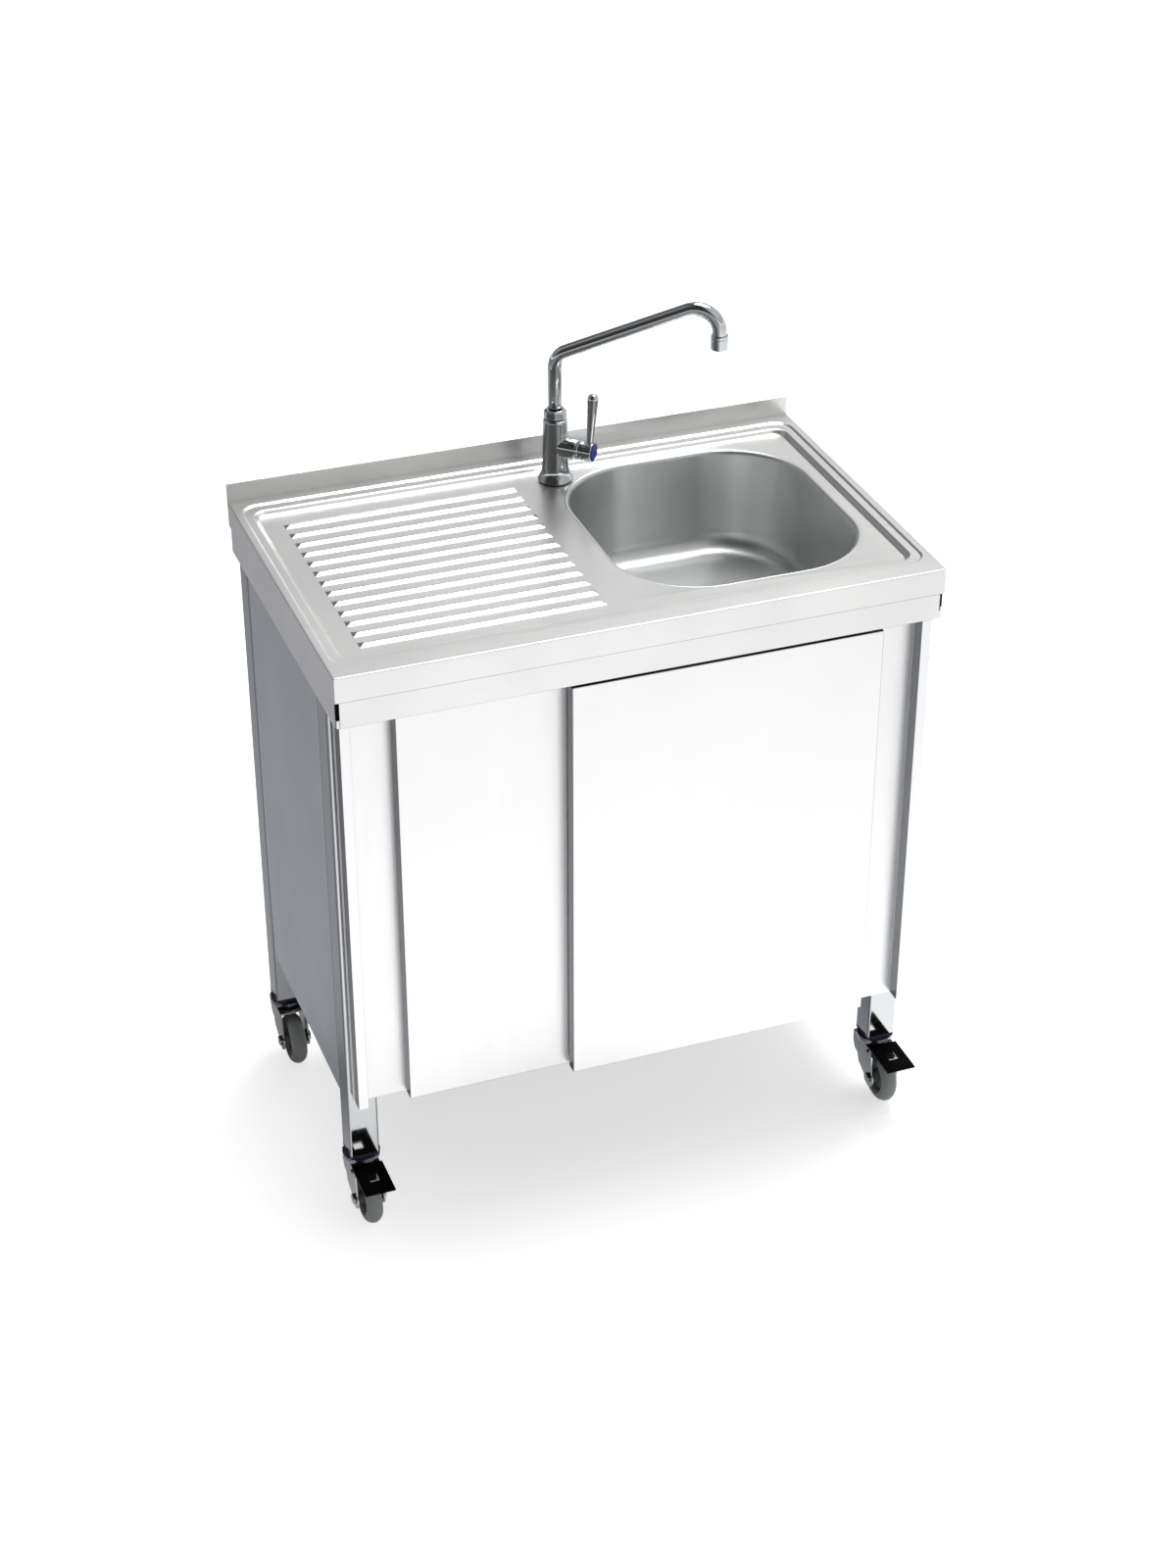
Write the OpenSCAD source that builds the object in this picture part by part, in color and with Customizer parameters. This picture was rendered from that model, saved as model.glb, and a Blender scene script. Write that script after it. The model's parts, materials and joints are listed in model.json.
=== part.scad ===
// Portable sink: a pressed steel worktop with drainer and bowl on a wheeled cabinet.
// Lengths are in millimetres. The origin is on the floor, under the middle of the whole footprint.
// +X is to the right, +Y to the back, +Z up.

/* [Worktop] */
// Width of the worktop
top_w = 800; // [760:10:1000]
// Depth of the worktop
top_d = 500; // [490:5:560]
// Height of the worktop above the floor
top_h = 860; // [820:5:950]
// Thickness of the worktop and frame sheet
sheet = 1.2; // [1:0.1:1.4]
// Height of the folded edge all round
apron_h = 35; // [30:1:42]
// Height of the splash edge at the back
splash_h = 26; // [15:1:60]
// Flat border at the left and right of the pressing
border_side = 10; // [8:1:12]
// Flat border in front of the pressing
border_front = 30; // [22:1:34]
// Flat border behind the pressing
border_back = 20; // [16:1:22]
// Ledge between the two steps at the left and right
ledge_side = 12; // [10:1:14]
// Ledge between the two steps in front
ledge_front = 14; // [10:1:16]
// Ledge between the two steps at the back
ledge_back = 16; // [14:1:17]
// Depth of the outer step
step_a = 2; // [1.5:0.1:2.5]
// Width of the slope of the outer step
step_a_run = 2.4; // [2:0.1:3]
// Depth of the inner step
step_b = 6; // [4:0.5:8]
// Width of the slope of the inner step
step_b_run = 6.3; // [5:0.1:7]
// Corner radius of the outer step
rim_r = 25; // [20:1:35]
// Corner radius of the inner step
field_r = 20; // [14:1:30]

/* [Drainer] */
// Number of drainer ribs
rib_count = 13; // [5:1:13]
// Distance from rib to rib
rib_pitch = 28; // [20:1:29]
// Width of a rib at its foot
rib_w = 15; // [10:0.5:18]
// Height of a rib
rib_h = 2.7; // [2:0.1:4]
// Length of the sloping end of a rib
rib_hip = 6.7; // [5:0.1:9]
// Width of the flat crest of a rib
rib_crest = 2; // [1:0.5:3]
// Distance from the left edge to the ribs
rib_left = 55; // [50:1:90]
// Flat strip between the ribs and the bowl
rib_gap = 50; // [45:1:80]

/* [Bowl] */
// Width of the bowl between its walls
bowl_w = 328; // [300:2:334]
// Depth of the bowl from front wall to back wall
bowl_d = 362; // [320:2:366]
// Depth from the drainer field to the bowl floor
bowl_h = 150; // [120:5:180]
// Corner radius of the bowl walls
bowl_r = 110; // [90:5:115]
// Radius between the walls and the floor
bowl_fillet = 30; // [20:1:36]
// Radius of the rolled edge
bowl_roll = 6.5; // [5:0.5:7]
// Thickness of the bowl sheet
bowl_sheet = 1; // [0.8:0.1:1.2]
// Distance from the bowl wall to the right edge of the worktop
bowl_right = 49; // [46:1:60]
// Distance from the bowl wall to the back edge of the worktop
bowl_back = 60; // [60:1:66]

/* [Cabinet] */
// Height of the frame rail that shows below the worktop
rail_show = 35; // [25:1:45]
// Open slit between two rails at a corner
corner_slit = 5; // [3:0.5:8]
// Width of a square leg tube
leg_w = 40; // [36:1:42]
// Wall of a leg tube
leg_wall = 1.5; // [1.2:0.1:2]
// Corner radius of a leg tube
leg_r = 3; // [2:0.5:4]
// Distance from the front edge of the worktop to the front legs
leg_front = 50.6; // [50.6:0.2:54]
// Distance from the back edge of the worktop to the back legs
leg_back = 36; // [30:1:60]
// Height of the front strips and doors above the floor
front_low = 194; // [180:1:220]
// Height of the side and back panels above the floor
panel_low = 189; // [175:1:215]
// Part of the panels that is hidden behind the rails
panel_lap = 30; // [15:1:34]
// Gap between a side panel and the back leg
panel_gap = 11; // [6:1:16]
// Width of the edge folds of the panels
fold_w = 18; // [12:1:24]
// Height of the cabinet floor
shelf_h = 216; // [200:1:260]
// Height of the folded edge of the cabinet floor
shelf_fold = 20; // [10:1:22]
// Diameter of the hose hole in the back panel
hose_hole_d = 70; // [50:2:90]

/* [Doors] */
// Thickness of a door
door_t = 18; // [15:0.5:18]
// Thickness of the door sheet
door_sheet = 1; // [0.8:0.1:1.2]
// Overlap of the two doors when both are shut
door_overlap = 92; // [60:2:120]
// How far the left door stands open at rest
left_ajar = 56; // [40:1:70]
// How far the right door stands open at rest
right_ajar = 52; // [40:1:70]
// Air between the two doors
door_air = 4; // [3.4:0.2:4.4]
// Air between the back door and the legs
door_back_air = 2.6; // [2.2:0.1:3]
// Air between the doors and the rail above them
door_top_air = 7; // [5:0.5:10]
// Width of the box lip of a side strip
lip_w = 13.5; // [10:0.5:18]
// Distance from the side of the frame to a box lip
lip_in = 10.8; // [10:0.2:14]
// Width of a side strip behind the doors
strip_w = 90; // [76:1:110]
// Distance from a door's end to its hanger
hanger_in = 50; // [35:1:80]

/* [Tap] */
// Gap between the tap foot and the bowl edge
tap_gap = 1.1; // [0.8:0.1:2]
// Diameter of the tap foot
tap_foot_d = 47.8; // [46:0.2:48]
// Height of the tap body
tap_h = 91; // [85:1:110]
// Diameter of the body above the flare
tap_low_d = 35.9; // [34:0.1:37]
// Diameter of the body at its top
tap_top_d = 32.3; // [30:0.1:34]
// Height of the collar nut
collar_h = 12; // [9:1:15]
// Width over the flats of the collar nut
collar_d = 28; // [26:0.5:30]
// Outer diameter of the spout tube
spout_d = 18.6; // [16:0.2:20]
// Wall of the spout tube
spout_wall = 1.5; // [1:0.1:2]
// Height of the lower spout corner above the field
spout_rise = 178.5; // [160:0.5:210]
// Length of the sloping arm from corner to corner
spout_len = 234.8; // [180:0.2:260]
// Slope of the arm
spout_tilt = 23.2; // [10:0.2:30]
// Bend radius of the lower corner
spout_bend_a = 25; // [20:1:35]
// Bend radius of the upper corner
spout_bend_b = 30; // [24:1:40]
// Direction of the arm seen from above
spout_az = -30; // [-60:5:0]
// Height of the outlet above the field
outlet_h = 203; // [170:1:206]
// Diameter of the nozzle
nozzle_d = 22.6; // [20:0.2:26]
// Length of the nozzle
nozzle_l = 22; // [16:1:24]
// Height of the valve barrel above the field
valve_h = 50; // [46:1:54]
// Direction of the valve barrel seen from above
valve_az = -45; // [-70:5:-20]
// Distance from the tap axis to the end of the barrel
valve_reach = 56; // [52:0.5:62]
// Diameter of the barrel where it leaves the body
valve_d = 30; // [28:0.5:30]
// Diameter of the lever hub
hub_d = 27; // [25:0.5:27.5]
// Length of the lever above the barrel axis
lever_l = 84; // [60:1:95]
// Diameter of the lever at its foot
lever_foot_d = 10; // [8:0.5:11]
// Diameter of the lever at its top
lever_top_d = 15; // [12:0.5:16]
// Outward lean of the lever
lever_lean = 4; // [0:0.5:6]
// Diameter of the threaded inlet shank
shank_d = 20.96; // [16:0.02:21]
// Length of the shank below the worktop
shank_l = 60; // [40:1:70]

/* [Waste] */
// Diameter of the waste flange in the bowl
flange_d = 70; // [60:1:80]
// Diameter of the waste hole in the bowl floor
waste_hole_d = 52; // [46:1:54]
// Outer diameter of the waste tail and of the trap pipes
pipe_d = 32; // [30:1:40]
// Wall of the trap pipes
pipe_wall = 2; // [1.5:0.1:2.5]
// Outer diameter of the trap bottle
trap_d = 68; // [60:1:76]
// Height of the trap bottle
trap_h = 64; // [55:1:80]
// Length of the trap outlet, measured from the trap axis
outlet_l = 120; // [90:1:150]

/* [Casters] */
// Diameter of a wheel
wheel_d = 75; // [70:1:76]
// Width of a tyre
tyre_w = 24; // [20:0.5:26]
// Distance of the axle behind the swivel axis
trail = 27; // [22:1:30]
// Height from the floor to the foot of a leg
caster_h = 102; // [100:1:110]
// Outer width of a fork
fork_w = 39; // [37:0.5:40]
// Thickness of the fork sheet
fork_t = 2.5; // [2:0.1:3]
// Thickness of the plastic foot plate under a leg
disc_t = 6; // [4:0.5:7]
// Diameter of the axle
axle_d = 8; // [6:0.5:10]
// Diameter of the swivel pin
kingpin_d = 10; // [8:0.5:12]
// Width of the brake pedal
pedal_w = 42; // [38:1:46]
// Reach of the brake pedal in front of the swivel axis
pedal_reach = 88.6; // [80:0.2:95]
// Thickness of the pedal plate
pedal_t = 2.5; // [2:0.1:3]
// Width of the square window in the pedal
window_w = 13.5; // [10:0.5:16]

/* [Hidden] */
$fn = 96;

// Clearances
eps = 0.01;
run_gap = 0.05;
slide_gap = 0.3;
stop_gap = 0.5;

// Heights of the worktop
ledge_z = top_h - step_a;
field_z = ledge_z - step_b;
field_low = field_z - sheet;
bowl_floor = field_z - bowl_h;
rail_low = top_h - apron_h - rail_show;
rail_high = top_h - sheet;

// Plan of the worktop, drawn from its middle
frame_w = top_w - 2 * sheet;
frame_d = top_d - 2 * sheet;
rim_w = top_w - 2 * border_side;
rim_d = top_d - border_front - border_back;
rim_y = (border_front - border_back) / 2;
pan_w = rim_w - 2 * ledge_side;
pan_d = rim_d - ledge_front - ledge_back;
pan_y = rim_y + (ledge_front - ledge_back) / 2;
bowl_x = top_w / 2 - bowl_right - bowl_w / 2;
bowl_y = top_d / 2 - bowl_back - bowl_d / 2;
rib_x0 = rib_left - top_w / 2;
rib_x1 = bowl_x - bowl_w / 2 - rib_gap;

// Legs, drawn from the middle of the worktop
side_in = frame_w / 2 - sheet;
leg_x = side_in - leg_w / 2;
leg_face = leg_front - top_d / 2;
leg_y_front = leg_face + leg_w / 2;
leg_y_back = top_d / 2 - leg_back - leg_w / 2;
rail_in = frame_d / 2 - sheet;
panel_back = leg_y_back - leg_w / 2 - panel_gap;

// The footprint reaches from the pedals to the back edge
reach_front = leg_y_front - pedal_reach;
centre_y = -(reach_front + top_d / 2) / 2;

// Doors
back_door_y = leg_face - door_back_air - door_t / 2;
front_door_y = back_door_y - door_t - door_air;
lip_out = side_in - lip_in + sheet;
lip_face = lip_out - lip_w;
door_w = lip_face - stop_gap + door_overlap / 2;
door_high = rail_low - door_top_air;
left_door_x = -lip_face + stop_gap + left_ajar + door_w / 2;
right_door_x = lip_face - stop_gap - right_ajar - door_w / 2;
strip_high = rail_low;
left_lip_front = back_door_y - door_t / 2;
right_strip_face = back_door_y - door_t / 2 - (door_air - sheet) / 2;
right_lip_front = front_door_y - door_t / 2 - 1;

// Door track
track_low = rail_low;
track_lip = 6;
track_head_h = 8;
track_high = track_low + 2 * sheet + track_head_h + 2 * slide_gap;
track_wall_y = (front_door_y + back_door_y) / 2;
hanger_l = 30;

// Tap
tap_step = (bowl_r + bowl_roll + tap_foot_d / 2 + tap_gap) / sqrt(2);
tap_x = bowl_x - (bowl_w / 2 - bowl_r) - tap_step;
tap_y = bowl_y + bowl_d / 2 - bowl_r + tap_step;
gasket_t = 1.2;
foot_ring = 3;
flare_h = 24;
shoulder_h = 13;
stem_l = 22;
shank_in = 18;
inlet_l = 40;
nut_af = 32;
nut_h = 8;
screw_d = 5;
screw_l = 5;
screw_h = 10.8;
screw_r = 21;
screw_az = spout_az - 70;
water_d = 12;
boss_taper = 1.5;
top_bevel_h = 4;
top_bevel_r = 3;
nozzle_stop = 4;
cartridge_in = 8;
cartridge_d = 16;
spindle_d = 8;
boss_end = 34;
bonnet_end = 43;
disc_face = 2;
hub_rim = 1.5;
hub_wall = 3;
disc_d = hub_d - 2 * hub_rim;
spindle_end = valve_reach - disc_face - hub_wall;
hub_start = bonnet_end + slide_gap;

// Waste and trap
gasket_h = 3;
flange_t = 1.5;
waste_top = bowl_floor - bowl_sheet - gasket_h;
waste_flange_h = 4;
cone_h = 16;
tail_wall = 3;
tail_l = 26;
tail_d = pipe_d + 2 * tail_wall;
tail_low = waste_top - waste_flange_h - cone_h - tail_l;
bottle_wall = 5;
head_d = trap_d - 2 * bottle_wall;
head_h = 74;
head_shoulder = 8;
head_gap = 8;
head_top = tail_low - head_gap;
head_low = head_top - head_h;
outlet_drop = 34;
outlet_z = head_top - outlet_drop;
outlet_wall = 2;
lap = 14;
dip_l = 30;
dip_low = head_low - dip_l;
spigot_l = 60;
union_low = head_top - 4;
union_h = 22;
union_wall = 6;
collar_r = tail_d / 2 + 0.5;
grip_d = 4;

// Casters
axle_z = wheel_d / 2;
crown_top = 86;
crown_t = 3;
race_d = 51;
pin_head_d = 18;
pin_head_h = 4;
disc_low = caster_h - disc_t;
plug_h = 30;
plug_top = 7;
hub_r = 25;
hub_web = 5;
hub_rim_t = 3;
hub_in = 3;
boss_d = 18;
cheek_r = 14;
cheek_waist = 12;
fork_front = -trail - 4;
fork_back = race_d / 2 + stop_gap;
head_d_axle = 14;
head_t = 3.5;
nut_t = 3.5;
nut_w = 15;
pivot_y = -20.3;
pivot_z = 78;
pivot_d = 4;
pivot_air = 0.5;
pivot_head_d = 7;
pivot_head_h = 2;
arm_t = 1.5;
arm_eye_r = 4;
arm_air = 0.3;
arm_h = 4.5;
arm_web_l = 10;
pedal_top = 90.5;
window_y = -63.6;
window_l = 15;

// Moves a child from the middle of the worktop to the origin on the floor
module placed() {
    translate([0, centre_y, 0]) children();
}

// Flat rectangle with round corners
module round_rect(w, d, r) {
    square([w - 2 * r, d], center = true);
    square([w, d - 2 * r], center = true);
    for (x = [-1, 1], y = [-1, 1])
        translate([x * (w / 2 - r), y * (d / 2 - r)]) circle(r);
}

// Sunk form with sloping walls: the top outline is w by d, and run is the width of the slope
module sunk(w, d, h, r, run) {
    for (x = [-1, 1], y = [-1, 1])
        translate([x * (w / 2 - r), y * (d / 2 - r), 0])
            rotate_extrude() polygon([[0, 0], [r - run, 0], [r, h], [0, h]]);
    rotate([90, 0, 90])
        linear_extrude(w - 2 * r, center = true)
            polygon([[run - d / 2, 0], [d / 2 - run, 0], [d / 2, h], [-d / 2, h]]);
    rotate([90, 0, 0])
        linear_extrude(d - 2 * r, center = true)
            polygon([[run - w / 2, 0], [w / 2 - run, 0], [w / 2, h], [-w / 2, h]]);
}

// Carries a profile round a rectangle with round corners; x is measured from the corner's centre
module around(w, d, r) {
    for (k = [0:3]) {
        sx = (k == 0 || k == 3) ? 1 : -1;
        sy = (k < 2) ? 1 : -1;
        translate([sx * (w / 2 - r), sy * (d / 2 - r), 0])
            rotate([0, 0, 90 * k]) rotate_extrude(angle = 90) children();
    }
    for (k = [0:1]) {
        rotate([0, 0, 180 * k])
            translate([w / 2 - r, 0, 0]) rotate([90, 0, 0])
                linear_extrude(d - 2 * r, center = true) children();
        rotate([0, 0, 180 * k])
            translate([0, d / 2 - r, 0]) rotate([90, 0, 90])
                linear_extrude(w - 2 * r, center = true) children();
    }
}

// Quarter of a ring between two radii
module quarter(r_in, r_out) {
    intersection() {
        difference() {
            circle(r_out);
            circle(r_in);
        }
        square(r_out);
    }
}

// Both pressed steps of the worktop as one form, with the field at the bottom
module pressing() {
    translate([0, rim_y, ledge_z]) sunk(rim_w, rim_d, step_a, rim_r, step_a_run);
    translate([0, pan_y, field_z]) sunk(pan_w, pan_d, step_b, field_r, step_b_run);
}

// One drainer rib with sloping sides and ends, lying along X
module rib(len) {
    intersection() {
        rotate([90, 0, 90])
            linear_extrude(len)
                polygon([[-rib_w / 2, 0], [rib_w / 2, 0], [rib_crest / 2, rib_h], [-rib_crest / 2, rib_h]]);
        rotate([90, 0, 0])
            linear_extrude(rib_w, center = true)
                polygon([[0, 0], [len, 0], [len - rib_hip, rib_h], [rib_hip, rib_h]]);
    }
}

// All drainer ribs on the field
module ribs() {
    for (i = [0:rib_count - 1])
        translate([rib_x0, (i - (rib_count - 1) / 2) * rib_pitch, field_z]) rib(rib_x1 - rib_x0);
}

// Worktop: two pressed steps, drainer ribs, splash edge and folded edges, from one sheet
module sink_top() {
    color("gainsboro") placed() difference() {
        union() {
            translate([-top_w / 2, -top_d / 2, rail_high]) cube([top_w, top_d, sheet]);
            translate([0, 0, -sheet]) pressing();
            ribs();
            translate([0, 0, top_h - apron_h]) difference() {
                translate([-top_w / 2, -top_d / 2, 0]) cube([top_w, top_d, apron_h]);
                translate([-frame_w / 2, -frame_d / 2, -1]) cube([frame_w, frame_d, apron_h + 2]);
            }
            translate([-top_w / 2, frame_d / 2, top_h]) cube([top_w, sheet, splash_h]);
        }
        difference() {
            pressing();
            ribs();
        }
        translate([0, 0, -sheet]) ribs();
        translate([bowl_x, bowl_y, field_low - 1]) linear_extrude(sheet + 2)
            round_rect(bowl_w + 2 * bowl_roll, bowl_d + 2 * bowl_roll, bowl_r + bowl_roll);
        translate([tap_x, tap_y, field_low - 1]) cylinder(d = shank_d + 1, h = sheet + 2);
    }
}

// Bowl: rolled edge, straight walls, round foot and a flat floor with the waste hole
module sink_bowl() {
    wall_low = bowl_floor + bowl_fillet;
    wall_high = field_z - bowl_roll;
    color("silver") placed() translate([bowl_x, bowl_y, 0]) {
        around(bowl_w, bowl_d, bowl_r) {
            translate([bowl_r, wall_low]) square([bowl_sheet, wall_high - wall_low]);
            translate([bowl_r + bowl_roll, wall_high])
                mirror([1, 0]) quarter(bowl_roll - bowl_sheet, bowl_roll);
            translate([bowl_r - bowl_fillet, wall_low])
                mirror([0, 1]) quarter(bowl_fillet, bowl_fillet + bowl_sheet);
        }
        translate([0, 0, bowl_floor - bowl_sheet]) linear_extrude(bowl_sheet) difference() {
            round_rect(bowl_w - 2 * bowl_fillet, bowl_d - 2 * bowl_fillet, bowl_r - bowl_fillet);
            circle(d = waste_hole_d);
        }
    }
}

// Front rail of the frame, a folded strip
module front_rail() {
    w = frame_w - 2 * corner_slit;
    color("lightgray") placed()
        translate([-w / 2, -frame_d / 2, rail_low]) cube([w, sheet, rail_high - rail_low]);
}

// Back rail of the frame with its inward fold
module back_rail() {
    w = frame_w - 2 * corner_slit;
    color("lightgray") placed() {
        translate([-w / 2, rail_in, rail_low]) cube([w, sheet, rail_high - rail_low]);
        translate([-w / 2, rail_in - fold_w, rail_low]) cube([w, fold_w, sheet]);
    }
}

// The two side rails of the frame
module side_rails() {
    d = frame_d - 2 * corner_slit;
    color("lightgray") placed() for (s = [0, 1]) mirror([s, 0, 0])
        translate([side_in, -d / 2, rail_low]) cube([sheet, d, rail_high - rail_low]);
}

// Angle brackets that join the rails at the four corners
module corner_brackets() {
    bracket_l = 25;
    bracket_t = 2;
    bracket_h = 30;
    bracket_z = track_high + 5;
    color("darkgray") placed() for (s = [0, 1], t = [0, 1]) mirror([s, 0, 0]) mirror([0, t, 0])
        translate([side_in, rail_in, bracket_z]) {
            translate([-bracket_l, -bracket_t, 0]) cube([bracket_l, bracket_t, bracket_h]);
            translate([-bracket_t, -bracket_l, 0]) cube([bracket_t, bracket_l, bracket_h]);
        }
}

// Square leg tube with round corners; side is -1 for left, end is -1 for front
module leg(side, end) {
    color("lightgray") placed()
        translate([side * leg_x, end < 0 ? leg_y_front : leg_y_back, caster_h])
            linear_extrude(field_low - caster_h) difference() {
                round_rect(leg_w, leg_w, leg_r);
                round_rect(leg_w - 2 * leg_wall, leg_w - 2 * leg_wall, leg_r - leg_wall / 2);
            }
}

// Side panel between the legs, with a folded back edge and a folded foot
module side_panel(side) {
    y0 = leg_y_front + leg_w / 2;
    y1 = panel_back;
    h = rail_low + panel_lap - panel_low;
    color("slategray") placed() mirror([side < 0 ? 1 : 0, 0, 0]) {
        translate([side_in - sheet, y0, panel_low]) cube([sheet, y1 - y0, h]);
        translate([side_in - fold_w, y1 - sheet, panel_low]) cube([fold_w, sheet, h]);
        translate([side_in - fold_w, y0, panel_low]) cube([fold_w, y1 - y0, sheet]);
    }
}

// Back panel between the back legs, with the hose hole
module back_panel() {
    w = 2 * (leg_x - leg_w / 2);
    y1 = leg_y_back + leg_w / 2;
    h = rail_low + panel_lap - panel_low;
    color("lightgray") placed() {
        translate([0, y1, panel_low]) rotate([90, 0, 0]) linear_extrude(sheet) difference() {
            translate([-w / 2, 0]) square([w, h]);
            translate([bowl_x, outlet_z - panel_low]) circle(d = hose_hole_d);
        }
        translate([-w / 2, y1 - fold_w, panel_low]) cube([w, fold_w, sheet]);
    }
}

// Cabinet floor with cut corners for the legs and folded edges
module shelf() {
    w = 2 * (side_in - sheet);
    inner = 2 * (leg_x - leg_w / 2);
    y1 = leg_y_back + leg_w / 2 - sheet;
    d = y1 - leg_face;
    color("lightgray") placed() difference() {
        union() {
            translate([-w / 2, leg_face, shelf_h - sheet]) cube([w, d, sheet]);
            translate([-inner / 2, leg_face, shelf_h - shelf_fold]) cube([inner, sheet, shelf_fold]);
            translate([-inner / 2, y1 - sheet, shelf_h - shelf_fold]) cube([inner, sheet, shelf_fold]);
        }
        for (x = [-1, 1], y = [leg_y_front, leg_y_back])
            translate([x * leg_x, y, shelf_h]) cube([leg_w, leg_w, 4 * shelf_fold], center = true);
        for (x = [-1, 1])
            translate([x * (side_in - fold_w / 2), panel_back - sheet / 2, shelf_h])
                cube([fold_w, sheet, 4 * shelf_fold], center = true);
    }
}

// Folded strip on the left leg: the back door shuts against its box lip
module left_strip() {
    h = strip_high - front_low;
    flange_out = 2.5;
    x0 = -lip_out - flange_out;
    color("whitesmoke") placed() translate([0, 0, front_low]) {
        translate([x0, leg_face - sheet, 0]) cube([strip_w, sheet, h]);
        translate([-lip_out, left_lip_front, 0]) cube([lip_w, sheet, h]);
        translate([-lip_out, left_lip_front, 0]) cube([sheet, leg_face - left_lip_front, h]);
        translate([-lip_face - sheet, left_lip_front, 0]) cube([sheet, leg_face - left_lip_front, h]);
    }
}

// Folded strip on the right leg: the front door shuts against its box lip, the back door runs behind it
module right_strip() {
    h = strip_high - front_low;
    color("whitesmoke") placed() translate([0, 0, front_low]) {
        translate([lip_out - sheet, right_lip_front, 0]) cube([sheet, leg_face - right_lip_front, h]);
        translate([lip_face, leg_face - sheet, 0]) cube([lip_w, sheet, h]);
        translate([lip_face, right_lip_front, 0]) cube([lip_w, sheet, h]);
        translate([lip_face, right_lip_front, 0]) cube([sheet, right_strip_face - right_lip_front, h]);
        translate([lip_out - strip_w, right_strip_face - sheet, 0]) cube([strip_w - lip_w + sheet, sheet, h]);
    }
}

// Double track of folded sheet behind the front rail; each channel has two lips for the hangers
module door_track() {
    y0 = -rail_in;
    y1 = leg_face;
    h = track_high - track_low;
    l = 2 * side_in;
    color("gray") placed() translate([-side_in, 0, track_low]) rotate([90, 0, 90]) linear_extrude(l) {
        translate([y0, h - sheet]) square([y1 - y0, sheet]);
        translate([y0, 0]) square([sheet, h]);
        translate([y1 - sheet, 0]) square([sheet, h]);
        translate([track_wall_y - sheet / 2, 0]) square([sheet, h]);
        for (a = [[y0, track_wall_y], [track_wall_y, y1]]) {
            translate([a[0], 0]) square([track_lip, sheet]);
            translate([a[1] - track_lip, 0]) square([track_lip, sheet]);
        }
    }
}

// Door leaf: a folded pan, open at its back, with inner lips
module door(x, y) {
    h = door_high - front_low;
    color("white") placed() translate([x - door_w / 2, y - door_t / 2, front_low]) difference() {
        cube([door_w, door_t, h]);
        translate([door_sheet, door_sheet, door_sheet])
            cube([door_w - 2 * door_sheet, door_t - 2 * door_sheet, h - 2 * door_sheet]);
        translate([fold_w, door_sheet, fold_w]) cube([door_w - 2 * fold_w, door_t, h - 2 * fold_w]);
    }
}

// Plastic hangers on top of a door: the head slides on the lips of the track
module hangers(x, y) {
    slot = door_t + door_air;
    neck_w = slot - 2 * track_lip - 2 * slide_gap;
    head_w = slot - sheet - 2 * slide_gap;
    color("dimgray") placed() for (s = [-1, 1])
        translate([x + s * (door_w / 2 - hanger_in), y, 0]) {
            translate([-hanger_l / 2, -neck_w / 2, door_high])
                cube([hanger_l, neck_w, track_low + sheet + slide_gap + eps - door_high]);
            translate([-hanger_l / 2, -head_w / 2, track_low + sheet + slide_gap])
                cube([hanger_l, head_w, track_head_h]);
        }
}

// Axes of the tap: standing on the field, and along the valve barrel
module at_tap() {
    placed() translate([tap_x, tap_y, field_z]) children();
}

module at_valve() {
    at_tap() translate([0, 0, valve_h]) rotate([0, 90, valve_az]) children();
}

module at_screw() {
    at_tap() translate([0, 0, screw_h]) rotate([0, 90, screw_az])
        translate([0, 0, screw_r - screw_l]) children();
}

// Cast tap body: foot ring, hollow flare, tapered column, shoulder and valve boss
module tap_body() {
    r_foot = tap_foot_d / 2;
    r_low = tap_low_d / 2;
    r_top = tap_top_d / 2;
    z0 = gasket_t;
    z1 = z0 + foot_ring;
    flare_w = r_foot - r_low;
    flare_r = (flare_w * flare_w + (flare_h - z1) * (flare_h - z1)) / (2 * flare_w);
    z2 = tap_h - shoulder_h;
    color("gray") {
        difference() {
            union() {
                at_tap() rotate_extrude() {
                    polygon([[0, z0], [r_foot, z0], [r_foot, z1], [0, z1]]);
                    difference() {
                        translate([0, z1]) square([r_foot, flare_h - z1]);
                        translate([r_low + flare_r, flare_h]) circle(flare_r);
                    }
                    polygon([[0, flare_h], [r_low, flare_h], [r_top, z2], [r_top, tap_h - top_bevel_h],
                        [r_top - top_bevel_r, tap_h], [0, tap_h]]);
                }
                at_valve() cylinder(d1 = valve_d, d2 = valve_d - boss_taper, h = boss_end);
            }
            at_tap() {
                cylinder(d = shank_d, h = shank_in + z0);
                cylinder(d = water_d, h = tap_h);
                translate([0, 0, tap_h - stem_l]) cylinder(d = spout_d + 2 * run_gap, h = stem_l + 1);
            }
            at_valve() cylinder(d = cartridge_d, h = boss_end + 1);
            at_screw() cylinder(d = screw_d, h = 4 * screw_l);
        }
    }
}

// Rubber ring under the tap
module tap_gasket() {
    gasket_in = 1.5;
    color("black") at_tap() difference() {
        cylinder(d = tap_foot_d - 2 * gasket_in, h = gasket_t);
        translate([0, 0, -1]) cylinder(d = shank_d, h = gasket_t + 2);
    }
}

// Threaded inlet shank
module tap_shank() {
    groove_l = 2;
    groove_depth = 1;
    color("silver") at_tap() difference() {
        translate([0, 0, -sheet - shank_l]) cylinder(d = shank_d, h = shank_l + sheet + gasket_t + shank_in);
        translate([0, 0, -sheet - shank_l - 1]) cylinder(d = water_d, h = 2 * shank_l + shank_in);
        translate([0, 0, -sheet - shank_l + inlet_l]) difference() {
            cylinder(d = shank_d + 1, h = groove_l);
            cylinder(d = shank_d - 2 * groove_depth, h = groove_l);
        }
    }
}

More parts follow.
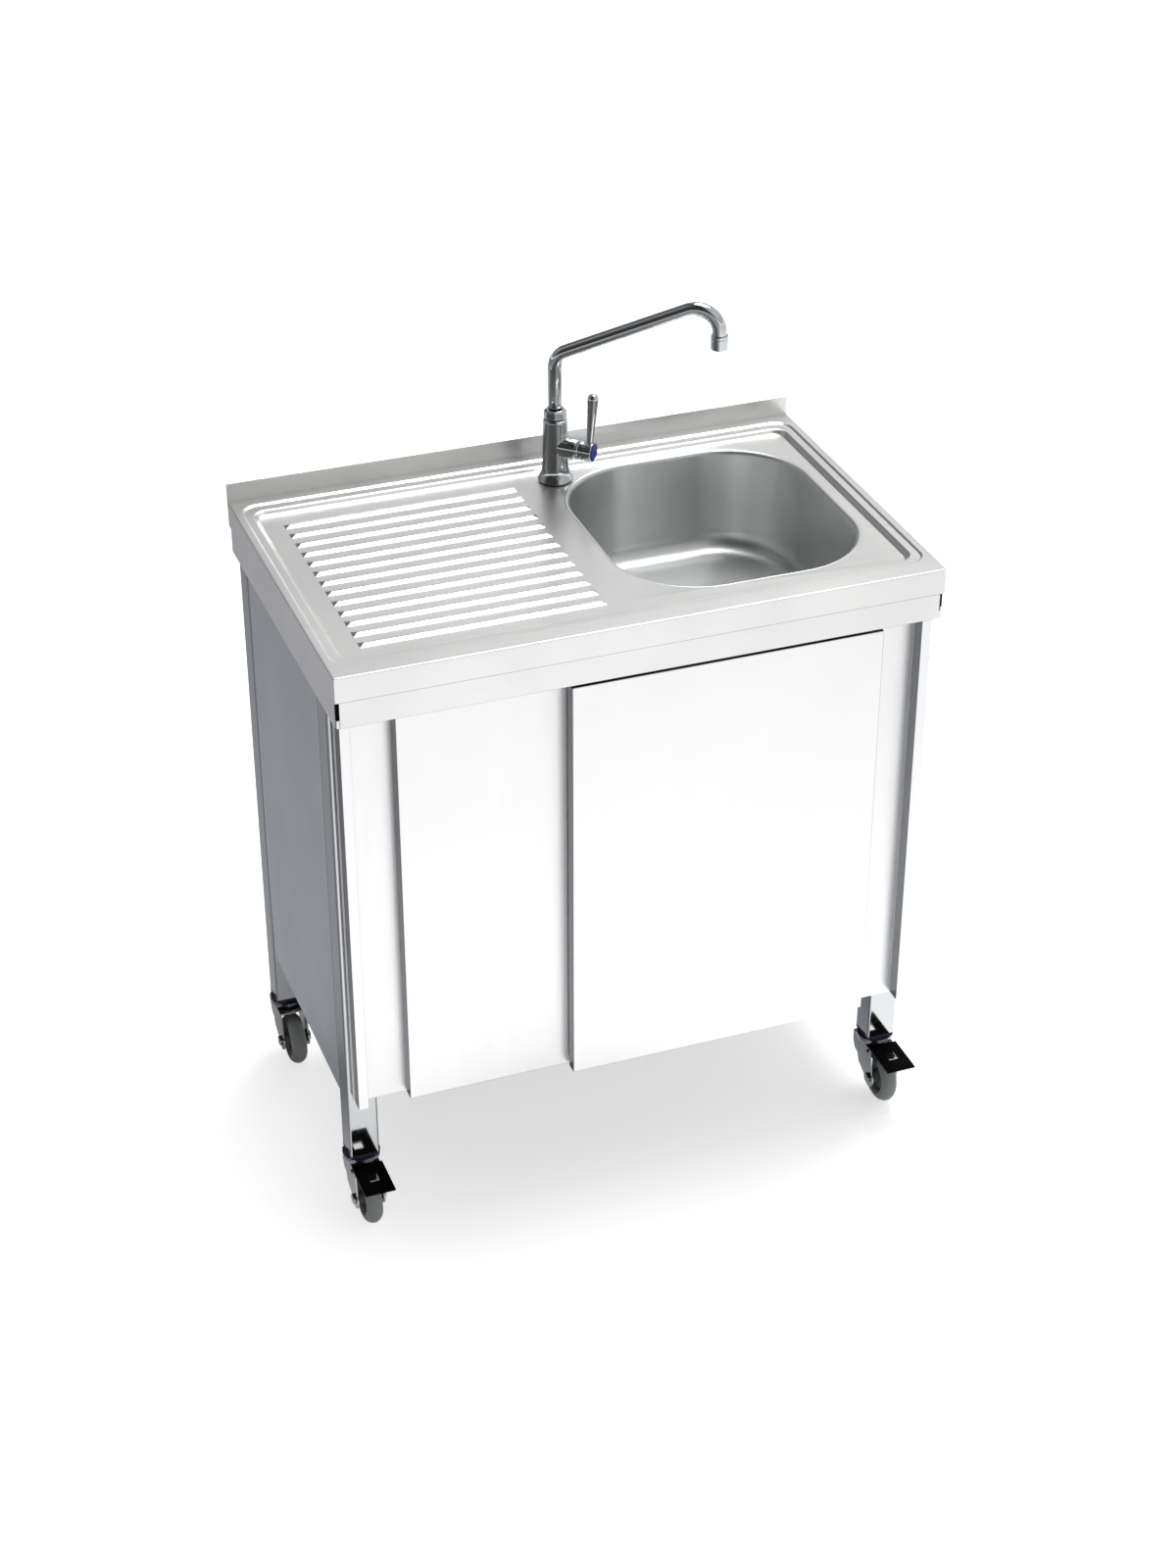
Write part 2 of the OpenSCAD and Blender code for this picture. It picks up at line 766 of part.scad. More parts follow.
// Washer and six-sided nut below the worktop
module tap_lock_nut() {
    washer_d = 40;
    washer_t = 2;
    low = -sheet - washer_t - nut_h;
    color("silver") at_tap() translate([0, 0, low]) difference() {
        union() {
            translate([0, 0, nut_h]) cylinder(d = washer_d, h = washer_t);
            cylinder(d = nut_af / cos(30), h = nut_h, $fn = 6);
        }
        translate([0, 0, -1]) cylinder(d = shank_d, h = nut_h + washer_t + 2);
    }
}

// Small screw low on the front of the body
module tap_grub_screw() {
    socket_d = 2.5;
    socket_h = 1.5;
    color("dimgray") at_screw() difference() {
        cylinder(d = screw_d, h = screw_l);
        translate([0, 0, screw_l - socket_h]) cylinder(d = socket_d, h = 2 * socket_h, $fn = 6);
    }
}

// Faceted nut that holds the spout
module collar_nut() {
    color("gray") at_tap() translate([0, 0, tap_h]) difference() {
        cylinder(d = collar_d / cos(22.5), h = collar_h, $fn = 8);
        translate([0, 0, -1]) cylinder(d = spout_d + 2 * run_gap, h = collar_h + 2);
    }
}

// Solid along the spout's centre line: riser, bend, sloping arm, bend and drop
module spout_path(r, low, drop_to) {
    turn_a = 90 - spout_tilt;
    turn_b = 90 + spout_tilt;
    cut_a = spout_bend_a * tan(turn_a / 2);
    cut_b = spout_bend_b * tan(turn_b / 2);
    reach = spout_len * cos(spout_tilt);
    z_b = spout_rise + spout_len * sin(spout_tilt);
    seam = 0.3;
    bend_step = 0.08;
    bend_r = r - bend_step;
    translate([0, 0, low]) cylinder(r = r, h = spout_rise - cut_a - low + seam);
    translate([spout_bend_a, 0, spout_rise - cut_a]) rotate([90, 0, 0]) rotate([0, 0, 90 + spout_tilt])
        rotate_extrude(angle = turn_a) translate([spout_bend_a, 0]) circle(bend_r);
    translate([cut_a * cos(spout_tilt), 0, spout_rise + cut_a * sin(spout_tilt)]) rotate([0, turn_a, 0])
        translate([0, 0, -seam]) cylinder(r = r, h = spout_len - cut_a - cut_b + 2 * seam);
    translate([reach - spout_bend_b, 0, z_b - cut_b]) rotate([90, 0, 0])
        rotate_extrude(angle = turn_b) translate([spout_bend_b, 0]) circle(bend_r);
    translate([reach, 0, drop_to]) cylinder(r = r, h = z_b - cut_b - drop_to + seam);
}

// Swivel spout of bent tube
module spout() {
    low = tap_h - stem_l + slide_gap;
    end = outlet_h + nozzle_stop;
    color("gray") at_tap() rotate([0, 0, spout_az]) difference() {
        spout_path(spout_d / 2, low, end);
        spout_path(spout_d / 2 - spout_wall, low - 1, end - 1);
    }
}

// Nozzle on the end of the spout
module nozzle() {
    reach = spout_len * cos(spout_tilt);
    band_h = 5;
    band_out = 0.8;
    color("gray") at_tap() rotate([0, 0, spout_az]) translate([reach, 0, outlet_h]) difference() {
        union() {
            cylinder(d = nozzle_d - 2 * band_out, h = nozzle_l);
            translate([0, 0, nozzle_l - band_h]) cylinder(d = nozzle_d, h = band_h);
        }
        translate([0, 0, nozzle_stop]) cylinder(d = spout_d, h = nozzle_l);
        translate([0, 0, -1]) cylinder(d = spout_d - 2 * spout_wall, h = nozzle_l);
    }
}

// Ceramic valve cartridge with its spindle, inside the barrel
module valve_cartridge() {
    color("goldenrod") at_valve() {
        translate([0, 0, cartridge_in]) cylinder(d = cartridge_d, h = boss_end - cartridge_in);
        cylinder(d = spindle_d, h = spindle_end);
    }
}

// Ring nut that closes the barrel
module valve_bonnet() {
    bonnet_out = 0.3;
    color("gray") at_valve() translate([0, 0, boss_end]) difference() {
        cylinder(d1 = valve_d - boss_taper, d2 = hub_d + 2 * bonnet_out, h = bonnet_end - boss_end);
        translate([0, 0, -1]) cylinder(d = spindle_d, h = bonnet_end - boss_end + 2);
    }
}

// Lever with its hub, turning on the spindle
module tap_lever() {
    hub_l = valve_reach - hub_start;
    mid = hub_start + hub_l / 2;
    top_r = lever_top_d / 2;
    root = hub_d / 2 - 2;
    color("gray") difference() {
        union() {
            at_valve() translate([0, 0, hub_start]) cylinder(d = hub_d, h = hub_l);
            at_valve() translate([0, 0, mid]) rotate([0, -90 + lever_lean, 0]) {
                translate([0, 0, root])
                    cylinder(d1 = lever_foot_d, d2 = lever_top_d, h = lever_l - top_r - root);
                translate([0, 0, lever_l - top_r]) sphere(top_r);
            }
        }
        at_valve() translate([0, 0, hub_start - 1])
            cylinder(d = spindle_d + 2 * run_gap, h = spindle_end - hub_start + 1 + stop_gap);
        at_valve() translate([0, 0, valve_reach - disc_face]) cylinder(d = disc_d, h = 2 * disc_face);
    }
}

// Coloured disc in the end of the hub
module lever_disc() {
    color("royalblue") at_valve()
        translate([0, 0, valve_reach - disc_face]) cylinder(d = disc_d, h = disc_face);
}

// Axis of the waste in the bowl floor
module at_waste() {
    placed() translate([bowl_x, bowl_y, 0]) children();
}

// Strainer plate with its rings of holes
module waste_strainer() {
    dish = 6;
    dish_r = waste_hole_d / 2 - 3;
    dish_run = 4;
    hole_d = 4;
    inner_ring = 8;
    outer_ring = 15;
    color("silver") at_waste() translate([0, 0, bowl_floor]) difference() {
        rotate_extrude() polygon([[0, -dish], [dish_r - dish_run, -dish], [dish_r, 0], [flange_d / 2, 0],
            [flange_d / 2 - 1, flange_t], [dish_r - 1, flange_t], [dish_r - dish_run - 1, flange_t - dish],
            [0, flange_t - dish]]);
        for (i = [0:5]) rotate([0, 0, 60 * i])
            translate([inner_ring, 0, -dish - 1]) cylinder(d = hole_d, h = dish);
        for (i = [0:11]) rotate([0, 0, 30 * i])
            translate([outer_ring, 0, -dish - 1]) cylinder(d = hole_d, h = dish);
    }
}

// Rubber ring between the bowl and the waste body
module waste_gasket() {
    color("black") at_waste() translate([0, 0, waste_top]) difference() {
        cylinder(d = flange_d - 2, h = gasket_h);
        translate([0, 0, -1]) cylinder(d = waste_hole_d, h = gasket_h + 2);
    }
}

// Waste body: flange, cone and threaded tail
module waste_body() {
    r = flange_d / 2 - 1;
    z1 = waste_top - waste_flange_h;
    z2 = z1 - cone_h;
    color("whitesmoke") at_waste() rotate_extrude()
        polygon([[waste_hole_d / 2, waste_top], [r, waste_top], [r, z1], [waste_hole_d / 2 + tail_wall, z1],
            [tail_d / 2, z2], [tail_d / 2, tail_low], [tail_d / 2 - tail_wall, tail_low],
            [tail_d / 2 - tail_wall, z2], [waste_hole_d / 2, z1]]);
}

// Union nut between the waste tail and the trap
module waste_nut() {
    nut_r = tail_d / 2 + union_wall;
    bore_d = tail_d - 2 * tail_wall;
    color("whitesmoke") at_waste() translate([0, 0, union_low]) difference() {
        union() {
            cylinder(r = nut_r, h = union_h);
            for (i = [0:7]) rotate([0, 0, 45 * i]) translate([nut_r, 0, 0]) cylinder(d = grip_d, h = union_h);
        }
        translate([0, 0, tail_low - union_low]) cylinder(d = tail_d, h = union_h);
        translate([0, 0, -1]) cylinder(d = bore_d, h = union_h + 2);
        translate([0, 0, -1]) cylinder(r = collar_r, h = head_top - union_low + 1);
    }
}

// Trap head with its dip pipe and side outlet
module trap_body() {
    inner_d = pipe_d - 2 * pipe_wall;
    root_d = pipe_d + 2 * outlet_wall;
    shell_h = head_h - head_shoulder;
    color("whitesmoke") at_waste() difference() {
        union() {
            difference() {
                union() {
                    translate([0, 0, head_low]) cylinder(d = head_d, h = shell_h);
                    translate([0, 0, outlet_z]) rotate([-90, 0, 0]) {
                        cylinder(d = pipe_d, h = outlet_l);
                        cylinder(d = root_d, h = outlet_l - spigot_l);
                    }
                }
                translate([0, 0, head_low - 1])
                    cylinder(d = head_d - 2 * pipe_wall, h = shell_h - pipe_wall + 1);
                translate([0, 0, outlet_z]) rotate([-90, 0, 0]) cylinder(d = inner_d, h = outlet_l + 1);
            }
            translate([0, 0, dip_low]) cylinder(d = pipe_d, h = union_low - dip_low);
            translate([0, 0, head_top - head_shoulder]) cylinder(r = collar_r, h = head_shoulder);
        }
        translate([0, 0, dip_low - 1]) cylinder(d = inner_d, h = head_top - dip_low + 2);
    }
}

// Screwed bottle that closes the trap from below
module trap_bottle() {
    r = trap_d / 2;
    wall = bottle_wall;
    bevel = 8;
    low = head_low - trap_h + lap;
    color("whitesmoke") at_waste() rotate_extrude() {
        polygon([[0, low], [r - bevel, low], [r, low + bevel], [r, low + trap_h], [head_d / 2, low + trap_h],
            [head_d / 2, head_low], [r - wall, head_low], [r - wall, low + wall + bevel / 2],
            [r - wall - bevel / 2, low + wall], [0, low + wall]]);
    }
}

// Puts a child on a caster's swivel axis; side is -1 for left, end is -1 for front
module at_caster(side, end) {
    placed() translate([side * leg_x, end < 0 ? leg_y_front : leg_y_back, 0]) children();
}

module at_casters() {
    for (side = [-1, 1], end = [-1, 1]) at_caster(side, end) children();
}

// Plastic foot plates under the legs, with a square plug inside each tube
module leg_inserts() {
    plug_w = leg_w - 2 * leg_wall;
    color("midnightblue") at_casters() difference() {
        union() {
            translate([0, 0, disc_low]) linear_extrude(disc_t) round_rect(leg_w, leg_w, leg_r);
            translate([0, 0, caster_h]) linear_extrude(plug_h)
                round_rect(plug_w, plug_w, leg_r - leg_wall / 2);
        }
        translate([0, 0, disc_low - 1]) cylinder(d = kingpin_d, h = plug_h - plug_top + disc_t + 1);
    }
}

// Swivel pins with their race: the forks turn on them
module swivel_pins() {
    race_low = crown_top + slide_gap;
    race_h = disc_low - race_low;
    pin_low = crown_top - crown_t - slide_gap;
    bevel_r = 2;
    bevel_h = 3;
    race_r = race_d / 2;
    color("silver") at_casters() {
        translate([0, 0, race_low]) rotate_extrude()
            polygon([[0, 0], [race_r - bevel_r, 0], [race_r, bevel_h], [race_r, race_h], [0, race_h]]);
        translate([0, 0, pin_low]) cylinder(d = kingpin_d, h = caster_h + plug_h - plug_top - pin_low);
        translate([0, 0, pin_low - pin_head_h]) cylinder(d = pin_head_d, h = pin_head_h);
    }
}

// Outline of a fork cheek in the Y-Z plane
module cheek_outline() {
    heel_z = 68;
    heel = [20, 58];
    throat = [10, 55];
    waist = [6, 44];
    low = axle_z - 4;
    polygon([[fork_front, crown_top], [fork_back, crown_top], [fork_back, heel_z], heel, throat, waist,
        [cheek_waist - trail, low], [-trail, axle_z - cheek_r], [-cheek_waist - trail, low]]);
    translate([-trail, axle_z]) circle(cheek_r);
}

// Fork: crown plate and two cheeks; the front forks carry the pivots of the pedal
module fork(side, end) {
    pin_l = fork_t + arm_t + pivot_air;
    color("silver") at_caster(side, end) difference() {
        union() {
            for (s = [0, 1]) mirror([s, 0, 0])
                translate([fork_w / 2 - fork_t, 0, 0]) rotate([90, 0, 90])
                    linear_extrude(fork_t) cheek_outline();
            translate([-fork_w / 2, fork_front, crown_top - crown_t])
                cube([fork_w, fork_back - fork_front, crown_t]);
            if (end < 0) for (s = [0, 1]) mirror([s, 0, 0])
                translate([fork_w / 2 - pin_l, pivot_y, pivot_z]) rotate([0, 90, 0]) {
                    cylinder(d = pivot_d, h = pin_l + pivot_head_h);
                    translate([0, 0, pin_l]) cylinder(d = pivot_head_d, h = pivot_head_h);
                }
        }
        translate([0, 0, crown_top - crown_t - 1]) cylinder(d = kingpin_d + 2 * run_gap, h = crown_t + 2);
        translate([-fork_w, -trail, axle_z]) rotate([0, 90, 0]) cylinder(d = axle_d, h = 2 * fork_w);
    }
}

// Axle bolt with its round head and six-sided nut
module axle(side, end) {
    color("silver") at_caster(side, end) translate([0, -trail, axle_z]) rotate([0, 90, 0]) {
        translate([0, 0, -fork_w / 2]) cylinder(d = axle_d, h = fork_w);
        translate([0, 0, -fork_w / 2 - head_t]) cylinder(d = head_d_axle, h = head_t);
        translate([0, 0, fork_w / 2]) cylinder(d = nut_w, h = nut_t, $fn = 6);
    }
}

// Wheel centre: boss, web and rim
module hub(side, end) {
    rim_l = tyre_w - 2 * hub_in;
    boss_l = fork_w - 2 * fork_t - 2 * slide_gap;
    color("dimgray") at_caster(side, end) translate([0, -trail, axle_z]) rotate([0, 90, 0]) difference() {
        union() {
            cylinder(d = boss_d, h = boss_l, center = true);
            cylinder(r = hub_r, h = hub_web, center = true);
            difference() {
                cylinder(r = hub_r, h = rim_l, center = true);
                cylinder(r = hub_r - hub_rim_t, h = rim_l + 1, center = true);
            }
        }
        cylinder(d = axle_d + 2 * run_gap, h = boss_l + 1, center = true);
    }
}

// Tyre with a round tread
module tyre(side, end) {
    tread_r = tyre_w / 2;
    bead_in = 1.5;
    bead_h = 2;
    wall_l = wheel_d / 2 - tread_r - hub_r + 0.5;
    color("dimgray") at_caster(side, end) translate([0, -trail, axle_z]) rotate([0, 90, 0]) rotate_extrude()
        difference() {
            union() {
                translate([wheel_d / 2 - tread_r, 0]) circle(tread_r);
                translate([hub_r, hub_in - tread_r]) square([wall_l, tyre_w - 2 * hub_in]);
                translate([hub_r, bead_in - tread_r]) square([bead_h, tyre_w - 2 * bead_in]);
            }
            translate([0, -tyre_w]) square([hub_r, 2 * tyre_w]);
        }
}

// Brake pedal: plate with a window, two arms on the pivots and a tongue above the tyre
module pedal(side) {
    arm_x = fork_w / 2 - fork_t - arm_t - arm_air;
    neck = -trail - 6 - arm_web_l;
    arm_low = pivot_z - arm_eye_r;
    plate_low = pedal_top - pedal_t;
    tongue_w = 16;
    tongue_t = 2;
    tongue_low = wheel_d;
    color("black") at_caster(side, -1) {
        difference() {
            translate([-pedal_w / 2, -pedal_reach, plate_low])
                cube([pedal_w, pedal_reach - fork_back, pedal_t]);
            translate([-window_w / 2, window_y, plate_low - 1]) cube([window_w, window_l, pedal_t + 2]);
        }
        for (s = [0, 1]) mirror([s, 0, 0]) translate([arm_x, 0, 0]) rotate([90, 0, 90]) linear_extrude(arm_t)
            difference() {
                union() {
                    translate([neck, arm_low]) square([arm_web_l, plate_low - arm_low + eps]);
                    translate([neck, arm_low]) square([pivot_y - neck, arm_h]);
                    translate([pivot_y, pivot_z]) circle(arm_eye_r);
                }
                translate([pivot_y, pivot_z]) circle(d = pivot_d + 2 * run_gap);
            }
        translate([-tongue_w / 2, neck, tongue_low]) cube([tongue_w, tongue_t, plate_low - tongue_low + eps]);
    }
}

sink_top();
sink_bowl();
front_rail();
back_rail();
side_rails();
corner_brackets();
leg(-1, -1);  // leg_front_left
leg(1, -1);  // leg_front_right
leg(-1, 1);  // leg_back_left
leg(1, 1);  // leg_back_right
side_panel(-1);  // left_panel
side_panel(1);  // right_panel
back_panel();
shelf();
left_strip();
right_strip();
door_track();
door(left_door_x, back_door_y);  // left_door
door(right_door_x, front_door_y);  // right_door
hangers(left_door_x, back_door_y);  // left_door_hangers
hangers(right_door_x, front_door_y);  // right_door_hangers
tap_body();
tap_gasket();
tap_shank();
tap_lock_nut();
tap_grub_screw();
collar_nut();
spout();
nozzle();
valve_cartridge();
valve_bonnet();
tap_lever();
lever_disc();
waste_strainer();
waste_gasket();
waste_body();
waste_nut();
trap_body();
trap_bottle();
leg_inserts();
swivel_pins();
fork(-1, -1);  // fork_front_left
fork(1, -1);  // fork_front_right
fork(-1, 1);  // fork_back_left
fork(1, 1);  // fork_back_right
axle(-1, -1);  // axle_front_left
axle(1, -1);  // axle_front_right
axle(-1, 1);  // axle_back_left
axle(1, 1);  // axle_back_right
hub(-1, -1);  // hub_front_left
hub(1, -1);  // hub_front_right
hub(-1, 1);  // hub_back_left
hub(1, 1);  // hub_back_right
tyre(-1, -1);  // tyre_front_left
tyre(1, -1);  // tyre_front_right
tyre(-1, 1);  // tyre_back_left
tyre(1, 1);  // tyre_back_right
pedal(-1);  // pedal_left
pedal(1);  // pedal_right
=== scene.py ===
# %% [markdown]
# A portable sink in Blender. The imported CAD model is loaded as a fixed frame, in metres, with the floor at
# z = 0. Everything below is either a finish for one of its pieces or a more detailed piece that takes its
# place.

# %% Load the frame
import json
import math

import bmesh
import bpy
from mathutils import Matrix, Vector


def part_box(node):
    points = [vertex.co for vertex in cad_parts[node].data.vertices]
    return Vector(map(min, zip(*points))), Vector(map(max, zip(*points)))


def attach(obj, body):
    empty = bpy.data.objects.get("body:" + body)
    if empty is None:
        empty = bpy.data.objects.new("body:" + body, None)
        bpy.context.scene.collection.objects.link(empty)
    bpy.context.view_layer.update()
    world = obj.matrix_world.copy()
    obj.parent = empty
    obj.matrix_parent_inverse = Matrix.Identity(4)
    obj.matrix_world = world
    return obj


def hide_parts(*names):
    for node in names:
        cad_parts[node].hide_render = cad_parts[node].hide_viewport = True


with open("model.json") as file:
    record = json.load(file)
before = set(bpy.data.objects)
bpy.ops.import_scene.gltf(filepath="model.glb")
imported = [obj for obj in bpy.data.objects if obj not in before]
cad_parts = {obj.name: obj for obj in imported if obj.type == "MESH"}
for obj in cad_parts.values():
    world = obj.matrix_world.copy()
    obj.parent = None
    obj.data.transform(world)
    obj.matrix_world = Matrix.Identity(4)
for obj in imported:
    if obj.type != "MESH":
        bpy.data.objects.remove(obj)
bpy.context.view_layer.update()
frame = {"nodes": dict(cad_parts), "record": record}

MM = 0.001

# %% [markdown]
# Blender works with linear colours, while a colour that is read off a photo is sRGB. One function turns a
# hex code into the linear values that a shader needs.

# %% Colours
def linear(code):
    """Linear RGBA of an sRGB hex code such as #D8D8D6."""
    parts = [int(code[i:i + 2], 16) / 255 for i in (1, 3, 5)]
    return (*[p / 12.92 if p <= 0.04045 else ((p + 0.055) / 1.055) ** 2.4 for p in parts], 1)


print("middle grey #808080 is", round(linear("#808080")[0], 3), "in linear light")

# %% [markdown]
# Materials are node trees. A single small function adds a node with its settings and its links, so that
# each material below reads as a list of what it is made of.

# %% Adding a node
def add(tree, kind, inputs=None, **settings):
    """Adds a node; inputs maps a socket's name or number to a value or to another node's output socket."""
    made = tree.nodes.new(kind)
    for name, value in settings.items():
        setattr(made, name, value)
    for socket, value in (inputs or {}).items():
        if isinstance(value, bpy.types.NodeSocket):
            tree.links.new(value, made.inputs[socket])
        else:
            made.inputs[socket].default_value = value
    return made


def empty_tree(owner):
    """The node tree of a material or a world, with nothing in it."""
    owner.use_nodes = True
    owner.node_tree.nodes.clear()
    return owner.node_tree


# %% [markdown]
# No real surface is even. Two noises make each finish: a slow one gives the colour faint clouds, and a fine
# one is the texture. The fine noise is read as bump and as a small change of roughness, so that marks which
# are deep are also duller. Most of a noise lies between 0.3 and 0.7, so that is the part which is
# stretched.

# %% Clouds and texture
NOISE_SPAN = {"From Min": 0.3, "From Max": 0.7}


def pattern(tree, size_mm, detail=2.0):
    """Noise on Object coordinates whose marks are size_mm long along x, y and z."""
    place = add(tree, "ShaderNodeTexCoord")
    scaled = add(tree, "ShaderNodeMapping", {"Vector": place.outputs["Object"],
                                             "Scale": [1 / (s * MM) for s in size_mm]})
    return add(tree, "ShaderNodeTexNoise", {"Vector": scaled.outputs["Vector"], "Scale": 1.0,
                                            "Detail": detail, "Roughness": 0.5}).outputs["Fac"]


def toned(tree, colour, cloud, cloud_mm):
    """The colour, made lighter and darker by the share cloud in patches of cloud_mm."""
    base = linear(colour)
    patches = add(tree, "ShaderNodeMapRange", {"Value": pattern(tree, [cloud_mm] * 3), **NOISE_SPAN})
    mix = add(tree, "ShaderNodeMix", {0: patches.outputs["Result"]}, data_type="RGBA")
    mix.inputs[6].default_value = [c * (1 - cloud) for c in base[:3]] + [1]
    mix.inputs[7].default_value = [min(1, c * (1 + cloud)) for c in base[:3]] + [1]
    return mix.outputs[2]


def textured(tree, base, marks_mm, depth_mm, roughness, spread, sockets):
    """Ends a material with its texture: marks of marks_mm and depth_mm, which also spread the roughness."""
    marks = pattern(tree, marks_mm, detail=3)
    bump = add(tree, "ShaderNodeBump", {"Height": marks, "Strength": 1.0, "Distance": depth_mm * MM})
    gloss = add(tree, "ShaderNodeMapRange", {"Value": marks, **NOISE_SPAN, "To Min": roughness - spread,
                                             "To Max": roughness + spread})
    shader = add(tree, "ShaderNodeBsdfPrincipled", {"Base Color": base, "Roughness": gloss.outputs["Result"],
                                                    "Normal": bump.outputs["Normal"], **sockets})
    add(tree, "ShaderNodeOutputMaterial", {"Surface": shader.outputs[0]})


# %% [markdown]
# Stainless sheet is brushed on a belt: long parallel scratches that spread a highlight across their own
# direction. The scratches are stretched noise. A real scratch is far finer than a pixel, so they are drawn
# a few millimetres apart, with little depth. Faces that turn away from the front, such as a sheet's sides
# and bends, can get a darker colour, and so can faces that look down. This is painted shade, and it draws
# thin grey outlines. The shade comes in with the direction of the face, which is the Normal of Texture
# Coordinate.

# %% Sheet metal
CLOUD_MM = 140
# how much of a face's direction lies along y, for the painted side shade: almost all on a front, and less
# where the sheet turns away
SIDE_SHADE_SPAN = {"From Min": 0.97, "From Max": 0.6}
# its share along z, for the painted shade on faces that look down: below zero where the face looks down
DOWNWARD_SHADE_SPAN = {"From Min": -0.1, "From Max": -0.4}


def sheet_metal(name, colour, roughness, grain_mm, depth_mm, spread=0.05, cloud=0.04, side_shade=None, downward_shade=None):
    """Metal with brush marks of grain_mm along x, y and z, and depth_mm deep. Faces that look away from the
    front get a painted side shade, and faces that look down get a painted downward shade, each in the colour
    given."""
    made = bpy.data.materials.new(name)
    tree = empty_tree(made)
    base = toned(tree, colour, cloud, CLOUD_MM)
    facing = add(tree, "ShaderNodeSeparateXYZ", {0: add(tree, "ShaderNodeTexCoord").outputs["Normal"]})
    front = add(tree, "ShaderNodeMath", {0: facing.outputs["Y"]}, operation="ABSOLUTE")
    # painted shade: faces that turn away from the front, and faces that look down, get a darker colour
    for tone, turn, limits in ((side_shade, front.outputs[0], SIDE_SHADE_SPAN), (downward_shade, facing.outputs["Z"], DOWNWARD_SHADE_SPAN)):
        if tone:
            share = add(tree, "ShaderNodeMapRange", {"Value": turn, **limits})
            mix = add(tree, "ShaderNodeMix", {0: share.outputs["Result"], 6: base}, data_type="RGBA")
            mix.inputs[7].default_value = linear(tone)
            base = mix.outputs[2]
    textured(tree, base, grain_mm, depth_mm, roughness, spread, {"Metallic": 1.0})
    return made


# %% [markdown]
# Plastic, rubber and paint are not metals: they mirror a little light from their surface and show their own
# colour below it. A fine noise as bump is the texture that the mould or the spray leaves.

# %% Plastic, rubber and paint
PATCH_MM = 45
GRIT_SPREAD = 0.06


def moulded(name, colour, roughness, grit_mm, depth_mm, cloud=0.08, ior=1.5):
    """A plastic, rubber or paint with a surface texture of grit_mm and depth_mm."""
    made = bpy.data.materials.new(name)
    tree = empty_tree(made)
    base = toned(tree, colour, cloud, PATCH_MM)
    textured(tree, base, [grit_mm] * 3, depth_mm, roughness, GRIT_SPREAD, {"Metallic": 0.0, "IOR": ior})
    return made


# %% [markdown]
# Each finish is named for what it is on the sink, and starts from the typical values of its material: a
# metal's colour is the tint of its mirror image, and a plastic's is its body. The worktop is brushed along
# its length, the legs and panels along their height, and the tap is chrome plated brass.

# %% The metals
# the colour of the painted shade on faces that look down
DOWNWARD_SHADE_GREY = "#5C5D5F"
metals = {
    # satin stainless sheet, brushed lengthwise: a soft, almost white mirror, with painted shade where it
    # looks down
    "worktop_steel": dict(colour="#EBEBEA", roughness=0.31, grain_mm=(200, 1.3, 1.3), depth_mm=0.006,
                          spread=0.025, downward_shade=DOWNWARD_SHADE_GREY),
    # deep drawn sheet, polished up and down the walls: a softer gloss, a little darker than the worktop,
    # which is partly painted shade for the bowl
    "bowl_steel": dict(colour="#E0E1E1", roughness=0.37, grain_mm=(9, 9, 120), depth_mm=0.005, spread=0.02),
    # the same sheet as the worktop, a little duller, with painted shade where it looks down
    "frame_steel": dict(colour="#ECECEC", roughness=0.34, grain_mm=(160, 2.2, 2.2), depth_mm=0.006,
                        spread=0.03, downward_shade=DOWNWARD_SHADE_GREY),
    # cold drawn bright tube: nearly a mirror, with painted shade on the sides that turn away from the front
    "leg_steel": dict(colour="#C8C9CA", roughness=0.08, grain_mm=(3.0, 3.0, 180), depth_mm=0.003,
                      spread=0.02, side_shade="#90929A"),
    # mill finish sheet, brushed upright: a flat blue grey, darker than the doors' sheet, which is partly
    # painted shade
    "panel_steel": dict(colour="#C9CBD3", roughness=0.38, grain_mm=(3.0, 3.0, 240), depth_mm=0.006,
                        spread=0.03),
    # satin sheet, the palest surface of all: its near white is partly painted light, and where it turns away
    # from the front it gets painted shade
    "door_steel": dict(colour="#F4F4F4", roughness=0.36, grain_mm=(3.0, 3.0, 240), depth_mm=0.006,
                       spread=0.03, cloud=0.015, side_shade="#77797D"),
    # chrome on polished brass: a clear mirror with only the faintest waves
    "tap_chrome": dict(colour="#D6D8DA", roughness=0.04, grain_mm=(30, 30, 30), depth_mm=0.002, spread=0.02,
                       cloud=0.02),
    # machined brass: warm, with the fine rings of the lathe blurred
    "valve_brass": dict(colour="#C9A35A", roughness=0.25, grain_mm=(4, 4, 4), depth_mm=0.01),
    # bright zinc on pressed steel: a grey gloss with small uneven patches, and painted shade where it turns
    # away
    "caster_zinc": dict(colour="#AEB0B2", roughness=0.16, grain_mm=(8, 8, 8), depth_mm=0.01, spread=0.04,
                        side_shade="#747679"),
}
finish = {name: sheet_metal(name, **look) for name, look in metals.items()}
print(len(finish), "metals")

# %% [markdown]
# The other finishes differ from each other mostly in colour and gloss. Rubber is the dullest of them, and
# enamel is the glossiest. At the end each CAD node gets the finish of the material that the record names
# for it.

